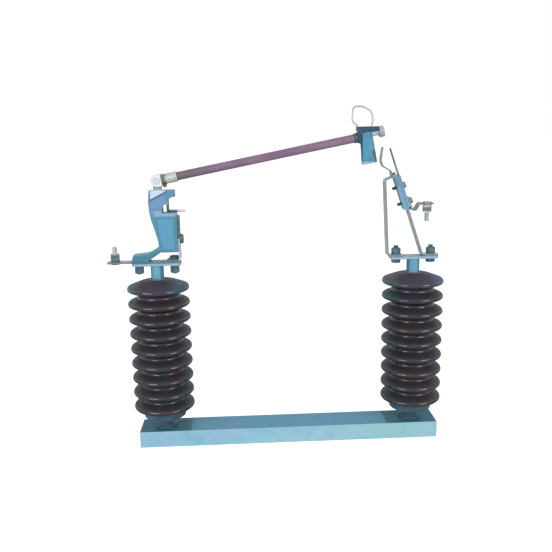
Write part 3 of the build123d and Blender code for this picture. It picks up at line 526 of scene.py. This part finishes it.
# The finish of each CAD node that stays, and how far its edges are rounded: 0 leaves them as they are
NODE_DRESS = {
    "base_channel": ("channel", 1.2),
    "left_base_fitting": ("cup", 1.5),
    "right_base_fitting": ("cup", 1.5),
    "left_top_fitting": ("stem", 1.0),
    "right_top_fitting": ("stem", 1.0),
    "line_terminal_strip": ("strip", 0.5),
    "hinge_casting": ("casting", 1.6),
    "heel_strap": ("strap", 0.5),
    "keeper_bar": ("dark", 0.5),
    "ledge_rod": ("ledge_rod", 0.6),
    "hinge_pin": ("hinge_pin", 0.5),
    "stay_strip": ("stay", 0.5),
    "contact_arm": ("arm", 0.5),
    "contact_block": ("block", 0.8),
    "clamp_plate": ("block", 0.6),
    "contact_finger": ("strip", 0.3),
    "contact_screw": ("dark", 0.5),
    "horn_rod": ("horn", 0),
    "load_terminal_strip": ("bent_strip", 0.5),
    "front_fork_cheek": ("cheek", 1.0),
    "back_fork_cheek": ("cheek", 1.0),
    "lower_collar": ("bronze", 0.8),
    "contact_shoe": ("copper", 0.6),
    "lower_ferrule": ("ferrule", 0.4),
    "fuse_tube": ("tube", 0.3),
    "upper_collar": ("dark", 0.4),
    "upper_fitting": ("navy", 1.2),
    "contact_blade": ("blade", 0.6),
    "end_cap": ("silver", 0.6),
    "pull_ring": ("galvanised", 0),
}


def dress_nodes(finishes):
    for name, (finish, rounding) in NODE_DRESS.items():
        piece = nodes[name]
        piece.data.materials.clear()
        piece.data.materials.append(finishes[finish])
        if rounding:
            soften(piece, rounding)


def soften(piece, width):
    """Rounds the edges of a rigid CAD node a little, as casting, rolling or shearing leaves them."""
    weld = piece.modifiers.new("weld", "WELD")
    weld.merge_threshold = WELD_DISTANCE / 1000
    flat = piece.modifiers.new("flat_faces", "DECIMATE")
    flat.decimate_type = "DISSOLVE"
    flat.angle_limit = math.radians(FLAT_ANGLE)
    round_off = piece.modifiers.new("round_off", "BEVEL")
    round_off.width = width / 1000
    round_off.segments = ROUNDING_STEPS
    round_off.limit_method = "ANGLE"
    round_off.angle_limit = math.radians(SHARP_ANGLE)
    round_off.harden_normals = True
    even = piece.modifiers.new("even_shading", "WEIGHTED_NORMAL")
    even.keep_sharp = True


# Mesh tools
def new_piece(name, mesh, finish, replaced=()):
    piece = bpy.data.objects.new(name, mesh)
    bpy.context.scene.collection.objects.link(piece)
    mesh.materials.clear()
    mesh.materials.append(finish)
    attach(piece, "base")
    if replaced:
        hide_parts(*replaced)


def bow(start, middle, end, steps):
    """Points on the arc through three points, without the first."""
    (x1, y1), (x2, y2), (x3, y3) = start, middle, end
    divisor = 2 * (x1 * (y2 - y3) + x2 * (y3 - y1) + x3 * (y1 - y2))
    square1, square2, square3 = x1 * x1 + y1 * y1, x2 * x2 + y2 * y2, x3 * x3 + y3 * y3
    centre_x = (square1 * (y2 - y3) + square2 * (y3 - y1) + square3 * (y1 - y2)) / divisor
    centre_y = (square1 * (x3 - x2) + square2 * (x1 - x3) + square3 * (x2 - x1)) / divisor
    radius = math.dist((centre_x, centre_y), start)
    first, half, last = (math.atan2(y - centre_y, x - centre_x) for x, y in (start, middle, end))
    turn = (half - first + math.pi) % (2 * math.pi) - math.pi
    sweep = turn + (last - half + math.pi) % (2 * math.pi) - math.pi
    angles = [first + sweep * step / steps for step in range(1, steps + 1)]
    return [(centre_x + radius * math.cos(angle), centre_y + radius * math.sin(angle)) for angle in angles]


def lathe(name, outline, axis_x, steps=128):
    """A solid of revolution about a vertical axis, from an outline of radius and height."""
    shape = bmesh.new()
    rings = []
    for radius, height in outline:
        if radius == 0:
            rings.append([shape.verts.new((axis_x / 1000, 0, height / 1000))])
            continue
        ring = []
        for step in range(steps):
            angle = 2 * math.pi * step / steps
            x, y = axis_x + radius * math.cos(angle), radius * math.sin(angle)
            ring.append(shape.verts.new((x / 1000, y / 1000, height / 1000)))
        rings.append(ring)
    for lower, upper in zip(rings, rings[1:]):
        for step in range(steps):
            after = (step + 1) % steps
            if len(lower) == 1:
                corners = (lower[0], upper[after], upper[step])
            elif len(upper) == 1:
                corners = (lower[step], lower[after], upper[0])
            else:
                corners = (lower[step], lower[after], upper[after], upper[step])
            shape.faces.new(corners)
    bmesh.ops.recalc_face_normals(shape, faces=shape.faces)
    for face in shape.faces:
        face.smooth = True
    mesh = bpy.data.meshes.new(name)
    shape.to_mesh(mesh)
    shape.free()
    return mesh


def joined(name, meshes, sharp_angle, seat=None, merge_distance=0.0):
    """One smooth mesh from several, which are used up. Edges that turn more than the angle stay sharp."""
    whole = bmesh.new()
    for mesh in meshes:
        whole.from_mesh(mesh)
        bpy.data.meshes.remove(mesh)
    if merge_distance:
        bmesh.ops.remove_doubles(whole, verts=whole.verts, dist=merge_distance / 1000)
    bmesh.ops.recalc_face_normals(whole, faces=whole.faces)
    if seat:
        whole.transform(seat)
    whole.normal_update()
    for face in whole.faces:
        face.smooth = True
    for edge in whole.edges:
        if len(edge.link_faces) != 2 or edge.calc_face_angle(0) > math.radians(sharp_angle):
            edge.smooth = False
    mesh = bpy.data.meshes.new(name)
    whole.to_mesh(mesh)
    whole.free()
    return mesh


# Geometry node tools
class Tree(NodeBuilder):
    """A geometry node tree being built, with its named inputs. Its sizes are in metres."""

    def __init__(self, name, sizes, inputs=None):
        super().__init__(bpy.data.node_groups.new(name, "GeometryNodeTree"))
        self.tree.interface.new_socket("Geometry", in_out="OUTPUT", socket_type="NodeSocketGeometry")
        self.sockets = {}
        kinds = {**{size: "Float" for size in sizes}, **(inputs or {}), "Material": "Material"}
        for title, kind in kinds.items():
            item = self.tree.interface.new_socket(title, in_out="INPUT", socket_type="NodeSocket" + kind)
            self.sockets[title] = item.identifier
        self.given = self.tree.nodes.new("NodeGroupInput").outputs

    def vector(self, x=0.0, y=0.0, z=0.0):
        return self.add("ShaderNodeCombineXYZ", {"X": x, "Y": y, "Z": z}).outputs[0]

    def swept(self, path, profile, height):
        """A profile along an upright spiral, closed at both ends and lifted to a height."""
        level = self.add("GeometryNodeSetCurveNormal", {"Curve": path}, mode="Z_UP").outputs["Curve"]
        mesh = self.add("GeometryNodeCurveToMesh", {
            "Curve": level, "Profile Curve": profile, "Fill Caps": True}).outputs["Mesh"]
        return self.add("GeometryNodeTransform", {
            "Geometry": mesh, "Translation": self.vector(z=height)}).outputs["Geometry"]

    def end(self, *parts):
        joint = self.add("GeometryNodeJoinGeometry")
        for part in parts:
            self.feed(joint.inputs["Geometry"], part)
        whole = self.add("GeometryNodeRealizeInstances", {"Geometry": joint.outputs[0]}).outputs[0]
        painted = self.add("GeometryNodeSetMaterial", {
            "Geometry": whole, "Material": self.given["Material"]}).outputs[0]
        output = self.tree.nodes.new("NodeGroupOutput")
        self.feed(output.inputs[0], painted)

    def grow(self, name, values):
        """Runs the tree with these input values and returns the result as a plain mesh."""
        holder = bpy.data.objects.new(name + "_maker", bpy.data.meshes.new(name + "_maker"))
        bpy.context.scene.collection.objects.link(holder)
        maker = holder.modifiers.new("maker", "NODES")
        maker.node_group = self.tree
        for title, value in values.items():
            maker[self.sockets[title]] = value
        holder.update_tag()
        graph = bpy.context.evaluated_depsgraph_get()
        mesh = bpy.data.meshes.new_from_object(holder.evaluated_get(graph))
        mesh.name = name
        holder.modifiers.remove(maker)
        bpy.data.objects.remove(holder)
        return mesh


def turned_solid(tree, base, height, radius, corner, cap_radius, sides=48):
    """A short solid on four rings: the inner two stand at the radius, the outer two close a corner."""
    blank = tree.add("GeometryNodeMeshCylinder", {
        "Vertices": sides, "Side Segments": 3, "Radius": 1.0, "Depth": 3.0}).outputs["Mesh"]
    spot = tree.add("ShaderNodeSeparateXYZ", {"Vector": tree.add("GeometryNodeInputPosition").outputs[0]})
    angle = tree.math("ARCTAN2", spot.outputs["Y"], spot.outputs["X"])
    outer = tree.math("GREATER_THAN", tree.math("ABSOLUTE", spot.outputs["Z"]), 1.0)
    inner = tree.minus(1.0, outer)
    wide = radius(angle) if callable(radius) else radius
    drop = corner(wide) if callable(corner) else corner
    reach = tree.plus(tree.times(outer, cap_radius), tree.times(inner, wide))
    half = tree.times(height, 0.5)
    rise = tree.minus(half, tree.times(inner, drop))
    level = tree.plus(tree.plus(base, half), tree.times(tree.math("SIGN", spot.outputs["Z"]), rise))
    moved = tree.vector(tree.times(tree.math("COSINE", angle), reach),
                        tree.times(tree.math("SINE", angle), reach), level)
    return tree.add("GeometryNodeSetPosition", {"Geometry": blank, "Position": moved}).outputs[0]


# Shapes of the fasteners, as shares: a thread's depth of its pitch, a hexagon's chamfer of half its flats,
# a washer's corner and a spring washer's rise of their height, and the spring washer's bar of a whole turn
THREAD_DEPTH = 0.45
CHAMFER_START, CHAMFER_END = 0.97, 0.94
WASHER_CORNER = 0.18
SPRING_RISE, SPRING_TURN = 0.12, 0.955

# The slope of a hexagon's chamfer in degrees, and the height and depth of the corner at a rod's ends
CHAMFER_ANGLE = 30
ROD_CORNER, ROD_INSET = 0.6, 0.8


def chamfered_hexagon(tree):
    """A hexagon across its flats: the chamfer cone leaves the arched edges that a real nut has."""
    half = tree.times(tree.given["Size"], 0.5)

    def side(angle):
        within = tree.math("WRAP", angle, math.pi / 6, -math.pi / 6)
        return tree.math("DIVIDE", half, tree.math("COSINE", within))

    def chamfer(reach):
        proud = tree.minus(reach, tree.times(half, CHAMFER_START))
        return tree.times(proud, math.tan(math.radians(CHAMFER_ANGLE)))

    return turned_solid(tree, tree.given["Base"], tree.given["Height"], side, chamfer,
                        tree.times(half, CHAMFER_END))


def flat_washer(tree):
    corner = tree.times(tree.given["Height"], WASHER_CORNER)
    return turned_solid(tree, tree.given["Base"], tree.given["Height"], tree.given["Size"], corner,
                        tree.minus(tree.given["Size"], corner))


def spring_washer(tree):
    """One turn of flat bar, cut through and sprung a little apart."""
    height = tree.given["Height"]
    width = tree.minus(tree.given["Size"], tree.given["Bore"])
    middle = tree.plus(tree.given["Bore"], tree.times(width, 0.5))
    turn = tree.add("GeometryNodeCurveSpiral", {
        "Resolution": 40, "Rotations": SPRING_TURN, "Start Radius": middle, "End Radius": middle,
        "Height": tree.times(height, SPRING_RISE)}).outputs["Curve"]
    bar = tree.add("GeometryNodeCurvePrimitiveQuadrilateral", {
        "Width": width, "Height": tree.times(height, 1 - SPRING_RISE)}).outputs["Curve"]
    return tree.swept(turn, bar, tree.plus(tree.given["Base"], tree.times(height, (1 - SPRING_RISE) / 2)))


def hardware_tree(shape):
    """A tree with one shape between a base and a height, to be run for each nut, head and washer."""
    tree = Tree(shape.__name__, ("Base", "Height", "Size", "Bore"))
    tree.end(shape(tree))
    return tree


def threads(tree, start, end, radius, pitch):
    """Thread ridges: a helix with a four-sided section, half sunk in the core."""
    length = tree.minus(end, start)
    depth = tree.times(pitch, THREAD_DEPTH)
    centre = tree.minus(radius, depth)
    helix = tree.add("GeometryNodeCurveSpiral", {
        "Resolution": 28, "Rotations": tree.math("DIVIDE", length, pitch), "Start Radius": centre,
        "End Radius": centre, "Height": length}).outputs["Curve"]
    ridge = tree.add("GeometryNodeCurvePrimitiveCircle", {
        "Resolution": 4, "Radius": depth}).outputs["Curve"]
    return tree.swept(helix, ridge, start)


def rod_tree():
    """The rod of a bolt or stud along +Z, with threads from a height up to its end."""
    tree = Tree("threaded_rod", ("Core Radius", "Thread Radius", "Pitch", "Thread Start", "Start", "End"))
    given = tree.given
    core = turned_solid(
        tree, given["Start"], tree.minus(given["End"], given["Start"]), given["Core Radius"],
        ROD_CORNER / 1000, tree.minus(given["Core Radius"], ROD_INSET / 1000), 40)
    ridges = threads(tree, given["Thread Start"], tree.minus(given["End"], given["Pitch"]),
                     given["Thread Radius"], given["Pitch"])
    tree.end(core, ridges)
    return tree


# Fasteners: washers and spring washers are given by their radius, heads and nuts by their height
M12 = dict(shank=12.0, pitch=1.75, flats=19.0, head=7.5, nut=10.0, washer=11.0, washer_height=2.5,
           spring=10.5, spring_height=2.5)
M12_DEEP = {**M12, "nut": 14.0}
M12_TERMINAL = {**M12, "spring_height": 0.0}
M8 = dict(shank=8.0, pitch=1.25, flats=13.0, head=5.5, washer=8.0, washer_height=1.6)
M20 = dict(shank=20.0, pitch=2.5, flats=30.0, head=13.0, washer=20.0, washer_height=3.0)
BUTTON_RADIUS = 10.0
ROD_IN_HEAD = 1.0
SPRING_CLEARANCE = 0.1
FASTENER_SHARP_ANGLE = 32


def seat_matrix(origin, direction, turn=0.0):
    """Places a fastener that was made along +Z: at a point, along a direction, turned by some degrees."""
    aim = Vector(direction).normalized().to_track_quat("Z", "Y").to_matrix().to_4x4()
    return Matrix.Translation(Vector(origin) / 1000) @ aim @ Matrix.Rotation(math.radians(turn), 4, "Z")


def build_fastener(trees, covered, size, grip, finish, seat, slot="steel", head=True, head_washer=True,
                   nut=True, tail=6.0, locknut=0.0, button=0.0):
    """Head below zero, grip above it, then washer, spring washer, nut, locknut and the threaded tail."""
    name = covered[0] + "_threaded"
    meshes = []

    def add_part(kind, base, height, reach):
        if height > 0:
            meshes.append(trees[kind].grow(f"{name}_{kind}_{len(meshes)}", {
                "Base": base / 1000, "Height": height / 1000, "Size": reach / 1000,
                "Bore": (size["shank"] / 2 + SPRING_CLEARANCE) / 1000, "Material": finish}))

    start = -button / 2
    if head:
        below = size["washer_height"] if head_washer else 0.0
        add_part("washer", -below, below, size["washer"])
        add_part("hexagon", -below - size["head"], size["head"], size["flats"])
        start = -below - ROD_IN_HEAD
    add_part("washer", -button, button, BUTTON_RADIUS)
    level = grip
    if nut:
        for kind, height, reach in (
            ("washer", size["washer_height"], size["washer"]),
            ("spring", size["spring_height"], size["spring"]),
            ("hexagon", size["nut"], size["flats"]),
            ("hexagon", locknut, size["flats"]),
        ):
            add_part(kind, level, height, reach)
            level += height
    meshes.append(trees["rod"].grow(f"{name}_rod", {
        "Core Radius": (size["shank"] / 2 - THREAD_DEPTH * size["pitch"]) / 1000,
        "Thread Radius": size["shank"] / 2000, "Pitch": size["pitch"] / 1000,
        "Thread Start": (level - size["pitch"]) / 1000, "Start": start / 1000,
        "End": (level + tail) / 1000, "Material": finish}))
    new_piece(name, joined(name, meshes, FASTENER_SHARP_ANGLE, seat), finish, covered)


def build_hardware(finishes):
    trees = {
        "rod": rod_tree(),
        "hexagon": hardware_tree(chamfered_hexagon),
        "washer": hardware_tree(flat_washer),
        "spring": hardware_tree(spring_washer),
    }
    up, down, left = (0, 0, 1), (0, 0, -1), (-1, 0, 0)
    slate = finishes["slate"]

    # Below the hinge casting
    build_fastener(
        trees, ["foot_stud"], M12_DEEP, CASTING_FOOT + STRIP + PLATE, slate,
        seat_matrix((LEFT_AXIS - BOLT_REACH, 0, STRIP_TOP + CASTING_FOOT), down, 3), head=False, tail=2.0)
    build_fastener(
        trees, ["heel_bolt"], M12_DEEP, STRIP + STRIP + PLATE, slate,
        seat_matrix((LEFT_AXIS + BOLT_REACH, 0, STRIP_TOP + STRIP), down, 8), head_washer=False, tail=2.0)
    build_fastener(
        trees, ["heel_strap_bolt"], M12, 24.0, slate,
        seat_matrix((HEEL_STRAP_OUTSIDE, 0, HEEL_STRAP_BOLT_Z), left, 12), slot="dark_steel",
        head_washer=False, nut=False, tail=0.0)

    # Below the stay and the contact arm
    for name, reach, turn in (("stay_foot_bolt", -BOLT_REACH, 6), ("arm_foot_bolt", BOLT_REACH, 24)):
        seat = seat_matrix((RIGHT_AXIS + reach, 0, PLATE_BOTTOM), up, turn)
        build_fastener(trees, [name], M12, PLATE + STRIP, slate, seat)

    # The terminals: a stud with a round button against the strip, a nut and a locknut
    stud = dict(head=False, locknut=6.5, button=2.5)
    build_fastener(
        trees, ["line_terminal_stud", "line_terminal_nut"], M12_TERMINAL, STRIP, finishes["line_stud"],
        seat_matrix((LINE_STUD_X, 0, PLATE_TOP), up, 2), tail=16.0, **stud)
    build_fastener(
        trees, ["load_terminal_stud", "load_terminal_nut"], M12_TERMINAL, STRIP, finishes["pale"],
        seat_matrix((LOAD_STUD_X, 0, LOAD_STRIP_TOP), down, 5), tail=21.0, **stud)

    # Through the contact block and its layers, at a height above its foot
    for name, level, layers in (("upper_block_bolt", 56, 15), ("lower_block_bolt", 17, 19)):
        seat = seat_matrix(BLOCK_FOOT + BLOCK_UP * level + BLOCK_ACROSS * layers, -BLOCK_ACROSS, 9)
        build_fastener(trees, [name], M8, layers, finishes["block_bolt"], seat, nut=False, tail=10.0)

    # Up through the channel's top into the lower fittings
    for name, axis_x in (("left_base_bolt", LEFT_AXIS), ("right_base_bolt", RIGHT_AXIS)):
        seat = seat_matrix((axis_x, 0, CHANNEL_TOP_UNDERSIDE), up)
        build_fastener(trees, [name], M20, 29.0, finishes["galvanised"], seat, nut=False, tail=0.0)


# Insulators: a shed's height is that of its rim, at the tip of its nose
SHED_COUNT, SHED_PITCH = 9, 36.0
FIRST_RIM = 97.0
LAST_RIM = FIRST_RIM + (SHED_COUNT - 1) * SHED_PITCH
SHED_FOOT_RADIUS, SHED_FOOT_DROP = 53.4, 9.2
PORCELAIN_BOTTOM, PORCELAIN_TOP = 75.0, 406.0
SOCKET_RADIUS, SOCKET_FLOOR = 15.2, 376.0
CEMENT_RING = [(46.5, 86.5), (49.3, 86.8), (49.0, 87.9), (47.6, 88.6), (46.5, 88.8), (46.5, 86.5)]
CEMENT_COLLAR = [(15.05, 405.6), (19.6, 405.7), (19.0, 406.8), (16.4, 407.6), (15.05, 408.0),
                 (15.05, 405.6)]
PORCELAIN_SHARP_ANGLE, PORCELAIN_MERGE = 50, 0.1


def shed_nose(rim):
    """From the foot of a shed along its underside and around its nose to the shoulder."""
    foot, drip_edge = (SHED_FOOT_RADIUS, rim - SHED_FOOT_DROP), (67.0, rim - 5)
    tip, shoulder = (72.0, rim), (68.47, rim + 6.63)
    return [foot, drip_edge, *bow(drip_edge, (70.54, rim - 3.54), tip, 5),
            *bow(tip, (71.06, rim + 3.76), shoulder, 7)]


def shed_outline(rim):
    """One shed: its nose, the slope above it, and the valley up to the foot of the next shed."""
    valley_start = (53.6, rim + 13.6)
    next_foot = (SHED_FOOT_RADIUS, rim + SHED_PITCH - SHED_FOOT_DROP)
    return [*shed_nose(rim), (60.0, rim + 10.6), valley_start,
            *bow(valley_start, (49.0, rim + 20.5), next_foot, 10)]


def crown_outline():
    """The top shed, which slopes up to the rim of the socket that holds the stem."""
    rim = LAST_RIM
    slope = [(57.0, rim + 11.2), (46.0, rim + 15.4), (42.0, rim + 16.8), (33.0, rim + 19)]
    socket = [(24.0, PORCELAIN_TOP), (SOCKET_RADIUS, PORCELAIN_TOP), (SOCKET_RADIUS, SOCKET_FLOOR),
              (0, SOCKET_FLOOR)]
    return [*shed_nose(rim), *slope, *socket]


def root_outline():
    """The plain foot of the porcelain, up to the first shed."""
    return [(0, PORCELAIN_BOTTOM), (44, PORCELAIN_BOTTOM), (46.8, 77), (46.8, 86.6), (49.6, 87.3),
            (SHED_FOOT_RADIUS, FIRST_RIM - SHED_FOOT_DROP)]


def shed_stack_tree():
    """Repeats one shed up the insulator and welds the joins."""
    tree = Tree("shed_stack", ["Pitch"], {"Shed": "Object", "Count": "Int"})
    shed = tree.add("GeometryNodeObjectInfo", {"Object": tree.given["Shed"]}).outputs["Geometry"]
    line = tree.add("GeometryNodeMeshLine", {
        "Count": tree.given["Count"], "Offset": tree.vector(z=tree.given["Pitch"])}).outputs["Mesh"]
    copies = tree.add("GeometryNodeInstanceOnPoints", {"Points": line, "Instance": shed}).outputs[0]
    whole = tree.add("GeometryNodeRealizeInstances", {"Geometry": copies}).outputs[0]
    tree.end(tree.add("GeometryNodeMergeByDistance", {"Geometry": whole, "Distance": 0.00002}).outputs[0])
    return tree


def build_insulator(side, axis_x, stack, glaze, mortar):
    """The porcelain as one closed body, with the cement that holds it below and the stem above."""
    shed = bpy.data.objects.new(f"{side}_shed", lathe(f"{side}_shed", shed_outline(FIRST_RIM), axis_x))
    bpy.context.scene.collection.objects.link(shed)
    sheds = stack.grow(f"{side}_sheds", {
        "Shed": shed, "Count": SHED_COUNT - 1, "Pitch": SHED_PITCH / 1000, "Material": glaze})
    bpy.data.objects.remove(shed)
    root = lathe(f"{side}_root", root_outline(), axis_x)
    crown = lathe(f"{side}_crown", crown_outline(), axis_x)
    body = joined(f"{side}_porcelain", (root, sheds, crown), PORCELAIN_SHARP_ANGLE,
                  merge_distance=PORCELAIN_MERGE)
    new_piece(f"{side}_porcelain", body, glaze, [f"{side}_insulator"])
    for name, outline in ((f"{side}_cement_ring", CEMENT_RING), (f"{side}_cement_collar", CEMENT_COLLAR)):
        new_piece(name, lathe(name, outline, axis_x), mortar)


# Studio: a white floor and two soft boxes, one each side of the camera, in metres and watts
SOFT_BOXES = {
    "left_soft_box": dict(spot=(-1.60, -1.95, 1.15), size=(1.4, 0.40), power=25.0),
    "right_soft_box": dict(spot=(1.85, -1.80, 1.20), size=(1.2, 0.40), power=22.0),
}
SOFT_BOX_AIM = Vector((0.02, 0, 0.40))
WHITE = (1, 1, 1, 1)
WORLD_LEVEL = 0.42
FLOOR_REACH, FLOOR_LEVEL = 30, -0.0005
PAPER_GREY, PAPER_GLOW = 0.82, 0.75


def build_world():
    """A plain level of light on the object, and white where the camera, gloss or glass looks past it."""
    world = bpy.data.worlds.new("studio")
    bpy.context.scene.world = world
    world.use_nodes = True
    sky = NodeBuilder(world.node_tree)
    ray = sky.add("ShaderNodeLightPath").outputs
    mirrored = sky.math("MAXIMUM", ray["Is Glossy Ray"], ray["Is Transmission Ray"])
    seen = sky.math("MAXIMUM", ray["Is Camera Ray"], mirrored)
    level = sky.add("ShaderNodeMapRange", {"Value": seen, "To Min": WORLD_LEVEL, "To Max": 1.0})
    background = world.node_tree.nodes["Background"].inputs
    sky.feed(background["Strength"], level.outputs["Result"])
    sky.feed(background["Color"], WHITE)


def build_soft_boxes():
    for name, box in SOFT_BOXES.items():
        lamp = bpy.data.lights.new(name, "AREA")
        lamp.shape = "RECTANGLE"
        lamp.size, lamp.size_y = box["size"]
        lamp.energy = box["power"]
        holder = bpy.data.objects.new(name, lamp)
        bpy.context.scene.collection.objects.link(holder)
        aim = (SOFT_BOX_AIM - Vector(box["spot"])).to_track_quat("-Z", "Y").to_matrix().to_4x4()
        holder.matrix_world = Matrix.Translation(box["spot"]) @ aim


def build_floor():
    """White paper that takes the object's shadow, and glows for the camera as the background does."""
    corners = [(x, y, FLOOR_LEVEL) for x, y in (
        (-FLOOR_REACH, -FLOOR_REACH), (FLOOR_REACH, -FLOOR_REACH),
        (FLOOR_REACH, FLOOR_REACH), (-FLOOR_REACH, FLOOR_REACH))]
    mesh = bpy.data.meshes.new("floor")
    mesh.from_pydata(corners, [], [(0, 1, 2, 3)])
    floor = bpy.data.objects.new("floor", mesh)
    bpy.context.scene.collection.objects.link(floor)
    paper = Surface("white_paper")
    seen = paper.add("ShaderNodeLightPath").outputs["Is Camera Ray"]
    mesh.materials.append(paper.finish(
        Base_Color=(PAPER_GREY, PAPER_GREY, PAPER_GREY, 1), Roughness=0.9, Emission_Color=WHITE,
        Emission_Strength=paper.times(seen, PAPER_GLOW)))


def main():
    bpy.context.scene.view_settings.view_transform = "Standard"
    place_camera()
    build_world()
    build_soft_boxes()
    build_floor()
    finishes = all_finishes()
    dress_nodes(finishes)
    build_hardware(finishes)
    stack = shed_stack_tree()
    for side, axis_x in (("left", LEFT_AXIS), ("right", RIGHT_AXIS)):
        build_insulator(side, axis_x, stack, finishes["porcelain"], finishes["cement"])


main()
